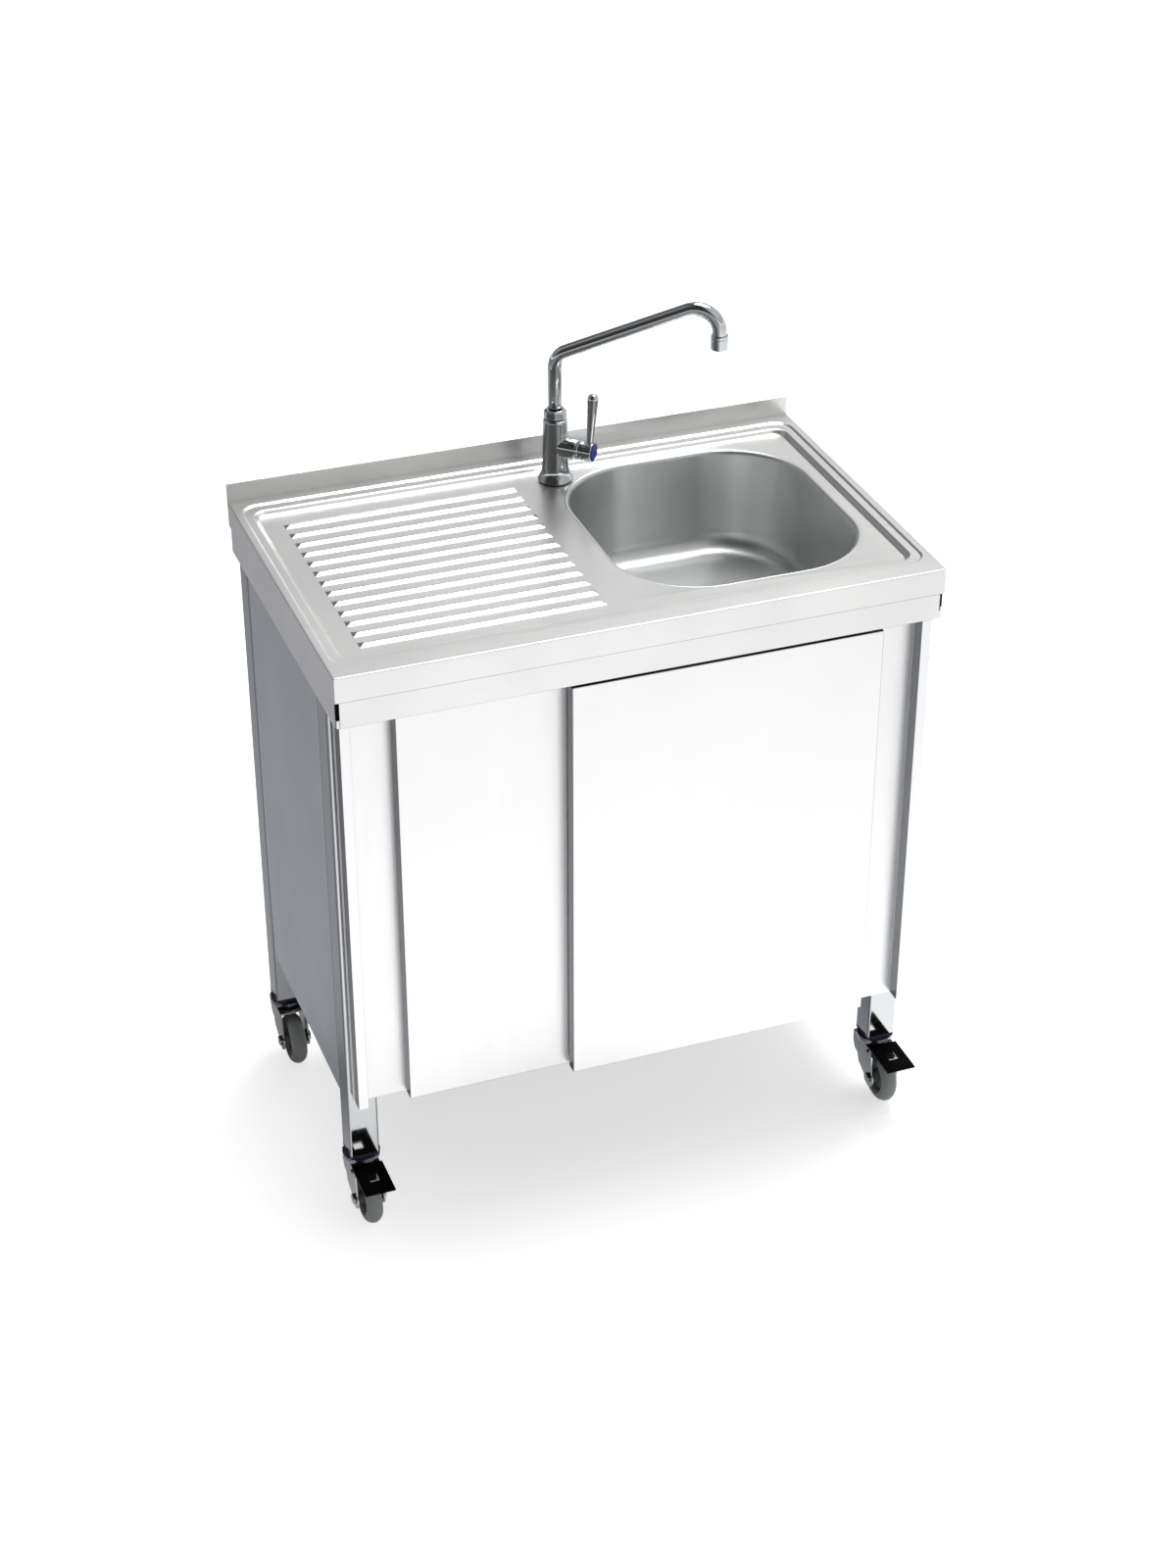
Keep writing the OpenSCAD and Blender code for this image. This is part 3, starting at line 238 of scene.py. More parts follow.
# %% The plastics, rubbers and paints
others = {
    # EPDM rubber: black and dull
    "seal_rubber": dict(colour="#1C1C1C", roughness=0.7, grit_mm=0.8, depth_mm=0.02),
    # blue enamel of the cold mark: smooth and glossy
    "index_blue": dict(colour="#22388F", roughness=0.22, grit_mm=2.0, depth_mm=0.004),
    # white polypropylene of traps: a waxy half gloss
    "trap_plastic": dict(colour="#E8E8E4", roughness=0.4, grit_mm=1.2, depth_mm=0.01, cloud=0.02),
    # dark nylon of runners: plain and slightly rough
    "hanger_nylon": dict(colour="#3A3A3A", roughness=0.5, grit_mm=1.2, depth_mm=0.01),
    # dark violet nylon of the foot plates
    "insert_plastic": dict(colour="#23203F", roughness=0.42, grit_mm=1.2, depth_mm=0.01),
    # grey polypropylene of the wheel centres
    "hub_plastic": dict(colour="#626463", roughness=0.5, grit_mm=1.2, depth_mm=0.015),
    # grey non-marking rubber: paler than the hub and quite dull
    "tyre_rubber": dict(colour="#8C8F8D", roughness=0.62, grit_mm=1.5, depth_mm=0.03),
    # black paint: it has so little gloss in the photo that its IOR is nearly that of air
    "pedal_paint": dict(colour="#030304", roughness=0.32, grit_mm=1.6, depth_mm=0.01, ior=1.1),
}
finish.update({name: moulded(name, **look) for name, look in others.items()})
for part in frame["record"]["subparts"]:
    cad = frame["nodes"][part["node"]]
    cad.data.materials.clear()
    cad.data.materials.append(finish[part["material_slot"]])
print(len(finish), "finishes on", len(frame["nodes"]), "nodes")

# %% [markdown]
# Every new piece goes through one function: it gives the mesh its finish, ties it to the CAD body that it
# moves with and hides the CAD node that it stands for. Its place is in its mesh, so the object itself stays
# at the origin.

# %% Making a piece
slot_of = {part["node"]: part["material_slot"] for part in frame["record"]["subparts"]}
body_of = {name: body for body, names in frame["record"]["behaviour"]["bodies"].items() for name in names}


def piece(name, bm, node, slot=None, sharp=35, stands_for=True):
    """A bmesh, which is freed, as a piece that stands for a CAD node or, if told so, stands beside it."""
    slot, body = slot or slot_of[node], body_of[node]
    data = bpy.data.meshes.new(name)
    bm.to_mesh(data)
    bm.free()
    data.shade_smooth()
    data.set_sharp_from_angle(angle=math.radians(sharp))
    data.materials.append(finish[slot])
    made = bpy.data.objects.new(name, data)
    bpy.context.scene.collection.objects.link(made)
    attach(made, body)
    if stands_for:
        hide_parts(node)
    print(f"{name}: {len(data.polygons)} faces, rides on {body}")
    return made


def kept_flat(made):
    """Keeps flat faces flat in the shading, next to round edges."""
    made.modifiers.new("flat_faces", "WEIGHTED_NORMAL").keep_sharp = True


def edged(made, width_mm, segments=2, angle=30):
    """Rounds the edges of a piece."""
    bevel = made.modifiers.new("edges", "BEVEL")
    bevel.width = width_mm * MM
    bevel.segments = segments
    bevel.limit_method = "ANGLE"
    bevel.angle_limit = math.radians(angle)
    kept_flat(made)


# %% [markdown]
# The CAD pieces have knife edges, while a real folded or cut edge is a little round and catches a line of
# light. A copy of such a piece gets its loose triangles merged, its flat faces joined and its edges
# rounded. The steel angle brackets in the slits at the corners get the pedals' black paint: this is painted
# shade, which makes each slit a black line.

# %% Folded and cut pieces
def softened(node, width_mm, segments=2, slot=None):
    """A copy of a CAD node with round edges, which stands for it."""
    bm = bmesh.new()
    bm.from_mesh(frame["nodes"][node].data)
    bmesh.ops.remove_doubles(bm, verts=bm.verts, dist=0.01 * MM)
    bmesh.ops.dissolve_limit(bm, angle_limit=math.radians(0.6), verts=bm.verts, edges=bm.edges)
    edged(piece(node + "_edged", bm, node, slot=slot), width_mm, segments)


SIDES = ("left", "right")
CORNERS = [f"{end}_{side}" for end in ("front", "back") for side in SIDES]
for node in ("front_rail", "back_rail", "side_rails"):
    softened(node, 0.5, 3)
for node in ("left_panel", "right_panel", "back_panel", "shelf", "door_track"):
    softened(node, 0.3)
# painted shade: black on the steel brackets stands for the shade deep inside the slits
softened("corner_brackets", 0.3, slot="pedal_paint")
for node in ("left_strip", "right_strip"):
    softened(node, 0.5, 3)
for node in ("tap_lock_nut", "tap_grub_screw", "waste_strainer", "waste_body", "waste_nut", "trap_body",
             "trap_bottle", "left_door_hangers", "right_door_hangers", "pedal_left", "pedal_right"):
    softened(node, 0.4)
for corner in CORNERS:
    softened("leg_" + corner, 0.3)
    softened("fork_" + corner, 0.5)
    softened("axle_" + corner, 0.7, 3)
softened("leg_inserts", 0.6)

# %% [markdown]
# Pressed sheet is drawn as rings: a flat rounded rectangle is one ring, and a step or a wall is a row of
# rings that are bridged from one to the next. A rounded rectangle is a square whose corners are bevelled.
# Its edges are gathered in a dictionary, which keeps their order, so that each run fills the sheet alike.

# %% Rings
WELD = 0.005 * MM


def ring(bm, width, depth, radius, place, segments=10):
    """Edges of a rounded rectangle, in mm, whose middle is at place."""
    before = set(bm.faces)
    corners = bmesh.ops.create_grid(bm, x_segments=1, y_segments=1, size=0.5)["verts"]
    bmesh.ops.scale(bm, vec=(width * MM, depth * MM, 1), verts=corners)
    bmesh.ops.translate(bm, vec=Vector(place) * MM, verts=corners)
    bmesh.ops.bevel(bm, geom=corners, offset=radius * MM, offset_type="OFFSET", segments=segments,
                    profile=0.5, affect="VERTICES", material=-1)
    flat = [face for face in bm.faces if face not in before]
    edges = list(dict.fromkeys(edge for face in flat for edge in face.edges))
    bmesh.ops.delete(bm, geom=flat, context="FACES_ONLY")
    return edges


def bridged(bm, rings):
    """Bridges each ring to the next one."""
    for outer, inner in zip(rings, rings[1:]):
        bmesh.ops.bridge_loops(bm, edges=outer + inner)


def face_up(bm):
    """Turns all faces so that the largest level one looks up."""
    bmesh.ops.recalc_face_normals(bm, faces=bm.faces)
    level = max(bm.faces, key=lambda face: abs(face.normal.z) * face.calc_area())
    if level.normal.z < 0:
        bmesh.ops.reverse_faces(bm, faces=bm.faces)


def thickened(made, wall_mm):
    """Gives an open shell a wall, which goes inwards from its faces."""
    wall = made.modifiers.new("wall", "SOLIDIFY")
    wall.thickness = wall_mm * MM
    wall.offset = -1


# %% [markdown]
# A door is a pan folded from one sheet: a flat front, four sides and four lips that turn inwards at the
# back. A folding press leaves a bend of 1.5 mm, which shows as a soft grey line round the front; the finish
# adds painted shade to the bend and the sides, as they turn away from the front. The pan is made lying down,
# as rings from its back lips to its front, and then stood up. Its corners are almost sharp, where the sides
# meet.

# %% Doors
bend, lip, door_sheet, seam_r = 1.5, 18, 1.0, 0.2
# a quarter turn in six steps, as (1 - cosine, sine)
quarter = [(1 - math.cos(a), math.sin(a)) for a in [math.radians(15 * i) for i in range(1, 7)]]
for node in ("left_door", "right_door"):
    low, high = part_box(node)
    width, thick, tall = ((high - low) / MM)[:]
    # (inwards, up) points of the pan: lip, bend, side, bend to the front
    pan = [(lip, 0), (bend, 0), *[(bend * (1 - s), bend * c) for c, s in quarter], (0, thick - bend),
           *[(bend * c, thick - bend * (1 - s)) for c, s in quarter]]
    bm = bmesh.new()
    rings = [ring(bm, width - 2 * inwards, tall - 2 * inwards, max(seam_r, bend - inwards), (0, 0, height),
                  segments=4) for inwards, height in pan]
    bridged(bm, rings)
    bmesh.ops.contextual_create(bm, geom=rings[-1])
    face_up(bm)
    stand = Matrix.Translation(((low.x + high.x) / 2, high.y, (low.z + high.z) / 2)) \
        @ Matrix.Rotation(math.radians(90), 4, "X")
    bmesh.ops.transform(bm, matrix=stand, verts=bm.verts)
    door = piece(node + "_pan", bm, node, sharp=50)
    thickened(door, door_sheet)
    kept_flat(door)
    print(node, "is", [round(v, 1) for v in (width, thick, tall)], "mm")

# %% [markdown]
# The worktop is one pressed sheet. Its size, and the places of bowl and tap, come from the frame or from
# the same values as the CAD model, in mm.

# %% The worktop's measures
top_w, top_d, top_sheet, apron = 800, 500, 1.2, 35
outer_drop, inner_drop = 2, 6
bowl_corner, bowl_steps, bowl_half_w, tap_hole = 116.5, 24, 164, 22
top_low, top_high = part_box("sink_top")
bowl_low, bowl_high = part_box("sink_bowl")
middle = ((top_low + top_high) / 2 / MM).to_2d()
bowl_middle = ((bowl_low + bowl_high) / 2 / MM).to_2d()
bowl_outline = [(bowl_high - bowl_low).x / MM, (bowl_high - bowl_low).y / MM]
tap_middle = (sum(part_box("tap_gasket"), Vector()) / 2 / MM).to_2d()
field = bowl_high.z / MM
deck = field + outer_drop + inner_drop
print("field at", round(field, 2), "bowl outline", [round(v, 2) for v in bowl_outline], "tap", tap_middle)

# %% [markdown]
# The folded edge ends in a small curl at its foot, and is a little round at the top. From there two soft
# steps go down to the field. A press leaves no sharp edge, so each step is a row of rings along an S-shaped
# curve.

# %% Folded edge and steps
edge_r, top_r, curl, round_top = 1.6, 1.5, 1.4, 0.4
# painted shade: the curl's faces look down, so the worktop's finish darkens them, which adds to the curl's
# own dark line
# (inwards, up) points of the folded edge, from its foot
edge = ((curl, 0), (0.7, 0.2), (0.2, 0.7), (0, curl), (0, apron - curl), (round_top, apron - round_top))
# each pressed step: width, depth, corner radius, shift to the back, height of its top, run, drop
pressed_steps = ((782, 452, 26, 5, deck, 4.4, outer_drop),
                 (758, 422, 21, 4, deck - outer_drop, 8.3, inner_drop))


def s_curve(run, drop, steps=8):
    """Points (inwards, down) of a soft pressed step; both its ends are level."""
    for i in range(steps + 1):
        t = i / steps
        yield run * t, drop * (3 * t * t - 2 * t ** 3)


bm = bmesh.new()
rings = [ring(bm, top_w - 2 * inwards, top_d - 2 * inwards, edge_r, (*middle, deck - apron + up))
         for inwards, up in edge]
rings.append(ring(bm, top_w - 2 * curl, top_d - 2 * curl, top_r, (*middle, deck)))
for width, depth, radius, back, high, run, drop in pressed_steps:
    for inwards, down in s_curve(run, drop):
        rings.append(ring(bm, width - 2 * inwards, depth - 2 * inwards, radius - inwards,
                          (middle.x, middle.y + back, high - down)))
bridged(bm, rings)
field_edges = rings[-1] + ring(bm, *bowl_outline, bowl_corner, (*bowl_middle, field), segments=bowl_steps)
# a radius just under half the width keeps the four corners of the round hole apart
field_edges += ring(bm, tap_hole, tap_hole, tap_hole / 2 - 0.01, (*tap_middle, field))
print(len(rings), "rings from the curl to the field")

# %% [markdown]
# The drainer has thirteen ribs. Each one rises softly from the field to a flat crest, with ends that slope
# more gently than its sides. It is a row of rings too, and its first ring is a hole in the field. The field
# is then filled between its edge and all these holes.

# %% Ribs and field
rib_count, rib_pitch, rib_w, rib_gap, rib_start = 13, 28, 15, 50, -345
rib_end = bowl_middle.x - bowl_half_w - rib_gap
# (in from the sides, in from the ends, up) of each ring of a rib
rib_rings = ((0, 0, 0), (0.6, 0.6, 0.12), (1.1, 1.1, 0.33), (5.7, 6.1, 2.38), (6.2, 6.8, 2.58),
             (6.9, 7.8, 2.7))
for i in range(rib_count):
    lane = middle.y + (i - (rib_count - 1) / 2) * rib_pitch
    rows = [ring(bm, rib_end - rib_start - 2 * end, rib_w - 2 * side, 1.0,
                 ((rib_start + rib_end) / 2, lane, field + up), segments=3) for side, end, up in rib_rings]
    bridged(bm, rows)
    bmesh.ops.contextual_create(bm, geom=rows[-1])
    field_edges += rows[0]
bmesh.ops.triangle_fill(bm, use_beauty=True, use_dissolve=False, edges=field_edges)
bmesh.ops.remove_doubles(bm, verts=bm.verts, dist=WELD)
face_up(bm)
worktop = piece("worktop_pressing", bm, "sink_top", sharp=60)
thickened(worktop, top_sheet)
kept_flat(worktop)

# %% [markdown]
# The splash edge stands upright along the back. It is a thin plate, so a stretched cube with round edges is
# enough. Its foot is sunk into the folded edge, which hides the joint.

# %% Splash edge
splash, sunk = 26, 1.4


def block(size_mm, middle_mm):
    """A bmesh of a stretched cube."""
    bm = bmesh.new()
    bmesh.ops.create_cube(bm, size=1)
    bmesh.ops.scale(bm, vec=Vector(size_mm) * MM, verts=bm.verts)
    bmesh.ops.translate(bm, vec=Vector(middle_mm) * MM, verts=bm.verts)
    return bm


bm = block((top_w, top_sheet, splash + sunk),
           (middle.x, middle.y + (top_d - top_sheet) / 2, deck + (splash - sunk) / 2))
edged(piece("splash_edge", bm, "sink_top", stands_for=False), 0.4, 3)

# %% [markdown]
# The bowl is drawn from sheet too: a rolled edge, walls that lean in a little, a round foot and a floor
# that falls slightly to the waste. Its section is a list of (inwards, down) points, and each point becomes
# a ring.

# %% Bowl
roll, foot, deep, lean, fall, bowl_sheet = 6.5, 30, 150, 1.8, 1.6, 1
section = [(roll * math.sin(a), roll * (1 - math.cos(a))) for a in [math.radians(15 * i) for i in range(7)]]
section += [(roll + 0.2, 40), (roll + 0.6, 80), (roll + 1.0, 108), (roll + 1.6, 112),
            (roll + lean, deep - foot)]
section += [(roll + lean + (foot - lean) * (1 - math.cos(a)), deep - foot + (foot - fall) * math.sin(a))
            for a in [math.radians(11.25 * i) for i in range(1, 9)]]
# the floor's rings, down to the waste: width, depth, corner radius, height above the lowest point
floor_rings = ((150, 160, 70, 1.0), (72, 72, 35.9, 0.2), (52, 52, 25.9, 0))
bm = bmesh.new()
rings = [ring(bm, bowl_outline[0] - 2 * inwards, bowl_outline[1] - 2 * inwards, bowl_corner - inwards,
              (*bowl_middle, field - down), segments=bowl_steps) for inwards, down in section]
for width, depth, radius, up in floor_rings:
    rings.append(ring(bm, width, depth, radius, (*bowl_middle, field - deep + up), segments=bowl_steps))
bridged(bm, rings)
bmesh.ops.remove_doubles(bm, verts=bm.verts, dist=WELD)
face_up(bm)
thickened(piece("drawn_bowl", bm, "sink_bowl", sharp=60), bowl_sheet)

# %% [markdown]
# Round pieces are turned: half of their outline, as (radius, height) points, spins once round the z axis. A
# matrix then lays the piece on its own axis.

# %% Turning
def turned(points, place=Matrix(), steps=48):
    """A bmesh of the outline in mm, spun round z and then moved by the matrix, whose shift is in metres."""
    bm = bmesh.new()
    verts = [bm.verts.new((radius * MM, 0, height * MM)) for radius, height in points]
    edges = [bm.edges.new(pair) for pair in zip(verts, verts[1:])]
    bmesh.ops.spin(bm, geom=verts + edges, cent=(0, 0, 0), axis=(0, 0, 1), dvec=(0, 0, 0),
                   angle=2 * math.pi, steps=steps, use_merge=True, use_duplicate=False)
    bmesh.ops.remove_doubles(bm, verts=bm.verts, dist=WELD)
    bmesh.ops.recalc_face_normals(bm, faces=bm.faces)
    bmesh.ops.transform(bm, matrix=place, verts=bm.verts)
    return bm


def joined(first, *others):
    """Puts the other bmeshes, which are freed, into the first one."""
    for other in others:
        shell = bpy.data.meshes.new("shell")
        other.to_mesh(shell)
        other.free()
        first.from_mesh(shell)
        bpy.data.meshes.remove(shell)
    return first


def arc(centre, radius, start, end, steps=8):
    """Points of an arc; angles are in degrees from the outward direction towards up."""
    for i in range(steps + 1):
        a = math.radians(start + (end - start) * i / steps)
        yield centre[0] + radius * math.cos(a), centre[1] + radius * math.sin(a)


# %% [markdown]
# The tap stands on the field behind the bowl. Its body is cast and turned: a foot ring, a hollow flare, a
# slightly tapered column and a round shoulder. The flare is an arc whose radius follows from its width and
# height. The valve's barrel leaves the column towards the front right.

# %% Tap body
foot_r, neck_r, flare_low, flare_top = 23.9, 17.95, 4.2, 24
valve_high, valve_turn = 50, -45
tap = Matrix.Translation((*(tap_middle * MM), field * MM))
barrel = tap @ Matrix.Translation((0, 0, valve_high * MM)) \
    @ Matrix.Rotation(math.radians(valve_turn), 4, "Z") @ Matrix.Rotation(math.radians(90), 4, "Y")
flare_w, flare_h = foot_r - neck_r, flare_top - flare_low
flare_r = (flare_w ** 2 + flare_h ** 2) / (2 * flare_w)
sweep = math.degrees(math.asin(flare_h / flare_r))
column = [(0, 1.2), (23.2, 1.2), (foot_r, 1.9), (foot_r, 3.7), (23.4, flare_low)]
column += list(arc((neck_r + flare_r, flare_top), flare_r, 180 + sweep, 180, 10))[1:]
column += [(16.15, 78), (16.15, 86), *arc((13.15, 86), 3, 0, 90, 6), (9.4, 91), (9.4, 70)]
boss = turned([(0, 4), (15, 4), (14.6, 20), (14.25, 33.2), (13.6, 34), (0, 34)], barrel)
piece("tap_column", joined(turned(column, tap, 64), boss), "tap_body", sharp=40)
print("flare radius", round(flare_r, 1), "mm")

# %% [markdown]
# The collar nut holds the spout. It has eight flats for the spanner, and its upper edge slopes in to the
# tube, so its outer rings are octagons and those at the bore are circles.

# %% Collar nut
collar = ((9.36, 91.05), (14.6, 91.05), (15.1, 91.5), (15.1, 100.6), (12.4, 102.9), (9.9, 103),
          (9.36, 102.6))
flats_from = 12
bm = bmesh.new()
rings = []
for radius, height in collar:
    level = Matrix.Translation((0, 0, height * MM)) @ Matrix.Rotation(math.pi / 8, 4, "Z")
    lap = bmesh.ops.create_circle(bm, cap_ends=False, radius=radius * MM,
                                  segments=8 if radius > flats_from else 64, matrix=level)
    rings.append(list(dict.fromkeys(edge for vert in lap["verts"] for edge in vert.link_edges)))
bridged(bm, rings)
bmesh.ops.bridge_loops(bm, edges=rings[0] + rings[-1])
bmesh.ops.recalc_face_normals(bm, faces=bm.faces)
bmesh.ops.transform(bm, matrix=tap, verts=bm.verts)
edged(piece("collar_nut_faceted", bm, "collar_nut", sharp=25), 0.25, 2, 20)

# %% [markdown]
# The spout is one bent tube. A circle is pulled up the riser, spun round the first bend, pulled along the
# arm, spun round the second bend and pulled down to the nozzle, just as a pipe bender works its way along.
# Two small helpers do the pulling and the bending.

# %% Pulling and bending a tube
def pulled(bm, edges, shift_mm):
    """Extrudes a loop of edges and moves it; returns the new loop."""
    new = bmesh.ops.extrude_edge_only(bm, edges=edges)["geom"]
    verts = [v for v in new if isinstance(v, bmesh.types.BMVert)]
    bmesh.ops.translate(bm, vec=Vector(shift_mm) * MM, verts=verts)
    return [e for e in new if isinstance(e, bmesh.types.BMEdge) and all(v in new for v in e.verts)]


def bent(bm, edges, centre_mm, angle, steps):
    """Spins a loop of edges about a level axis through centre_mm; returns the last loop."""
    verts = list(dict.fromkeys(v for e in edges for v in e.verts))
    new = bmesh.ops.spin(bm, geom=verts + edges, cent=Vector(centre_mm) * MM, axis=(0, 1, 0),
                         dvec=(0, 0, 0), angle=angle, steps=steps, use_merge=False, use_duplicate=False)
    return [e for e in new["geom_last"] if isinstance(e, bmesh.types.BMEdge)]


# %% [markdown]
# The spout's centre line has two corners. It rises to the first one, slopes up along the arm to the second
# one and then goes straight down. Each bend is an arc that cuts its corner off, by a length that follows
# from the bend's radius and angle.

# %% Spout
rise, arm, tilt = 178.5, 234.8, math.radians(23.2)
bend_a, bend_b = 25, 30
tube_r, tube_wall, tube_low, spout_end, spout_turn = 9.24, 1.5, 72, 206, -30
turn_a, turn_b = math.pi / 2 - tilt, math.pi / 2 + tilt
cut_a, cut_b = bend_a * math.tan(turn_a / 2), bend_b * math.tan(turn_b / 2)
run = arm - cut_a - cut_b
reach, crest = arm * math.cos(tilt), rise + arm * math.sin(tilt) - cut_b
bm = bmesh.new()
bmesh.ops.create_circle(bm, cap_ends=False, radius=tube_r * MM, segments=40,
                        matrix=Matrix.Translation((0, 0, tube_low * MM)))
loop = pulled(bm, list(bm.edges), (0, 0, rise - cut_a - tube_low))
loop = bent(bm, loop, (bend_a, 0, rise - cut_a), turn_a, 12)
loop = pulled(bm, loop, (run * math.cos(tilt), 0, run * math.sin(tilt)))
loop = bent(bm, loop, (reach - bend_b, 0, crest), turn_b, 16)
pulled(bm, loop, (0, 0, spout_end - crest))
bmesh.ops.recalc_face_normals(bm, faces=bm.faces)
arm_place = tap @ Matrix.Rotation(math.radians(spout_turn), 4, "Z")
bmesh.ops.transform(bm, matrix=arm_place, verts=bm.verts)
print("spout reaches", round(reach, 1), "mm and ends", spout_end, "mm above the field")
thickened(piece("spout_tube", bm, "spout", sharp=40), tube_wall)

# %% [markdown]
# The nozzle is a plain sleeve with a fine groove below its upper edge, and a sieve a little inside its
# mouth.

# %% Nozzle
outlet = 203
mouth = arm_place @ Matrix.Translation((reach * MM, 0, outlet * MM))
bm = turned([(0, 3), (8.2, 3), (8.6, 0.4), (9.2, 0), (10.6, 0), (11.1, 0.5), (11.2, 14.2), (10.8, 14.8),
             (10.8, 15.6), (11.3, 16.1), (11.3, 18.6), (10.9, 19.2), (9.35, 19.6)], mouth)
piece("nozzle_sleeve", bm, "nozzle", sharp=30)

# %% [markdown]
# A ring nut closes the barrel, and the lever's hub turns in front of it, with a blue disc let into its end.
# The lever grows wider towards its round top, and leans out from upright by four degrees.

# %% Ring nut, lever and disc
lever_at, lever_lean = 49.6, 4
bm = turned([(4, 34), (13.4, 34), (14.2, 34.6), (14.2, 36.6), (13.6, 37.2), (13.6, 42.2), (13.2, 43),
             (4, 43)], barrel)
piece("ring_nut", bm, "valve_bonnet", sharp=30)
hub = [(4.05, 43.3), (12.9, 43.3), (13.5, 43.9), (13.5, 54.6), (13.3, 55.4), (12.7, 56), (12.1, 56),
       (12.0, 55.8), (12.0, 54), (0, 54)]
upright = barrel @ Matrix.Translation((0, 0, lever_at * MM)) \
    @ Matrix.Rotation(math.radians(lever_lean - 90), 4, "Y")
stick = turned([(5.0, 11.5), (4.8, 13), (4.75, 17), (5.1, 26), (5.8, 44), (6.8, 64), (7.35, 74),
                *arc((0, 76.3), 7.5, -8, 90, 9)], upright, 32)
piece("lever", joined(turned(hub, barrel, 64), stick), "tap_lever", sharp=35)
bm = turned([(0, 54.2), (11.7, 54.2), (11.95, 54.3), (11.95, 55.2), (11.5, 55.7), (0, 55.9)], barrel, 64)
piece("blue_disc", bm, "lever_disc", sharp=40)

# %% [markdown]
# A wheel is a grey rubber tyre with a round tread on a plastic centre. Both outlines are the same on both
# sides, so half of each is written and the other half is its mirror image.

# %% Wheels
def both_sides(half):
    """A closed outline from its upper half, mirrored at height 0."""
    return [*half, *[(radius, -height) for radius, height in reversed(half)], half[0]]


tyre = [(25.05, 10.9), (26.4, 11.3), (27.7, 11.2), (28.2, 10.5), (28.8, 10.5), (29.3, 11.1),
        *arc((25.5, 0), 11.9, 66, 18, 8), (37.45, 1.8)]
centre = [(4.05, 16.6), (8.5, 16.6), (8.9, 16.2), (9.3, 6), (9.9, 3.6), (11.6, 2.5), (19.4, 2.5),
          (21.2, 3.2), (21.9, 5), (22.2, 8.4), (22.7, 8.9), (24.5, 8.9), (24.95, 8.4)]
for corner in CORNERS:
    low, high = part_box("tyre_" + corner)
    axle = Matrix.Translation((low + high) / 2) @ Matrix.Rotation(math.radians(90), 4, "Y")
    piece(f"tyre_{corner}_turned", turned(both_sides(tyre), axle, 72), "tyre_" + corner, sharp=40)
    piece(f"hub_{corner}_turned", turned(both_sides(centre), axle, 64), "hub_" + corner, sharp=40)

# %% [markdown]
# Above each fork sits the swivel race, a bright ring below the plastic foot plate. Its pin goes up into the
# leg and has a round head below the fork's crown. The four are one node, so they are turned one by one and
# joined.

# %% Swivel races
race = [(0, 78.7), (8.3, 78.7), (9, 79.4), (9, 82), (8.4, 82.7), (5, 82.7), (5, 86.3), (19, 86.3),
        (22.6, 86.7), (24.3, 88), (24.9, 90), (25.1, 92.2), (24.6, 92.8), (24.6, 93.3), (25.2, 93.9),
        (25.45, 95.4), (25, 96), (5, 96), (5, 125), (0, 125)]
races = []
for corner in CORNERS:
    low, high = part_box("leg_" + corner)
    races.append(turned(race, Matrix.Translation(((low.x + high.x) / 2, (low.y + high.y) / 2, 0)), 64))
piece("swivel_races", joined(*races), "swivel_pins", slot="leg_steel", sharp=30)

# %% [markdown]
# Each pedal is a black plate with a small punched window. Two edges of the window show as thin bright lines,
# which are painted highlights. Each line is a thin block of bare steel, a little lower than the plate.

# %% Painted highlights on the pedals' windows
window_in, window_high, painted_highlight_thick = 32.5, 89.3, 2.36
# width, length and shift of each line from the window's middle
painted_highlight_edges = ((13.3, 1.2, 0, -6.85), (1.2, 14.8, 6.1, 0))
for side in SIDES:
    low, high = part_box("pedal_" + side)
    window_x, window_y = (low.x + high.x) / 2 / MM, low.y / MM + window_in
    strips = [block((width, length, painted_highlight_thick), (window_x + across, window_y + along, window_high))
              for width, length, across, along in painted_highlight_edges]
    # painted highlight: bare steel strips on two edges of the window stand for their highlights
    painted_highlight = piece(f"pedal_{side}_painted_highlight_edge", joined(*strips), "pedal_" + side, slot="frame_steel",
                 stands_for=False)
    edged(painted_highlight, 0.5, 3)

# %% [markdown]
# The floor is a plain pale sheet under the wheels. It is large, so that a low view doesn't see its edge.

# %% Floor sheet
floor_half = 200
floor_mesh = bmesh.new()
bmesh.ops.create_grid(floor_mesh, x_segments=1, y_segments=1, size=floor_half)
floor_data = bpy.data.meshes.new("floor")
floor_mesh.to_mesh(floor_data)
floor_mesh.free()
floor = bpy.data.objects.new("floor", floor_data)
bpy.context.scene.collection.objects.link(floor)
print("the floor reaches", floor_half, "m to each side")

# %% [markdown]
# The lamps' light on the floor holds the shadow, and its own light lifts it to white. Light Path gives that
# lift to the camera, to glass and to what metal mirrors. For the camera it is smaller under the cabinet
# than beside it, with a soft change over 0.4 m, so that the shadow is as pale as the photo's.

# %% What the camera sees of the floor
# the rectangle under the cabinet: its middle, half its size and the width of its soft border, in metres
footprint, half_footprint, fade = (0.04, 0.05, 0.0), (0.25, 0.2, 0.0), 0.4
lift_under, lift_beside = 0.56, 0.80
paint = bpy.data.materials.new("floor_paint")
tree = empty_tree(paint)
path = add(tree, "ShaderNodeLightPath")
seen = add(tree, "ShaderNodeMath", {0: path.outputs["Is Camera Ray"], 1: path.outputs["Is Glossy Ray"]},
           operation="MAXIMUM")
seen = add(tree, "ShaderNodeMath", {0: seen.outputs[0], 1: path.outputs["Is Transmission Ray"]},
           operation="MAXIMUM")
place = add(tree, "ShaderNodeTexCoord").outputs["Object"]
beside = add(tree, "ShaderNodeVectorMath", {0: place, 1: footprint}, operation="SUBTRACT")
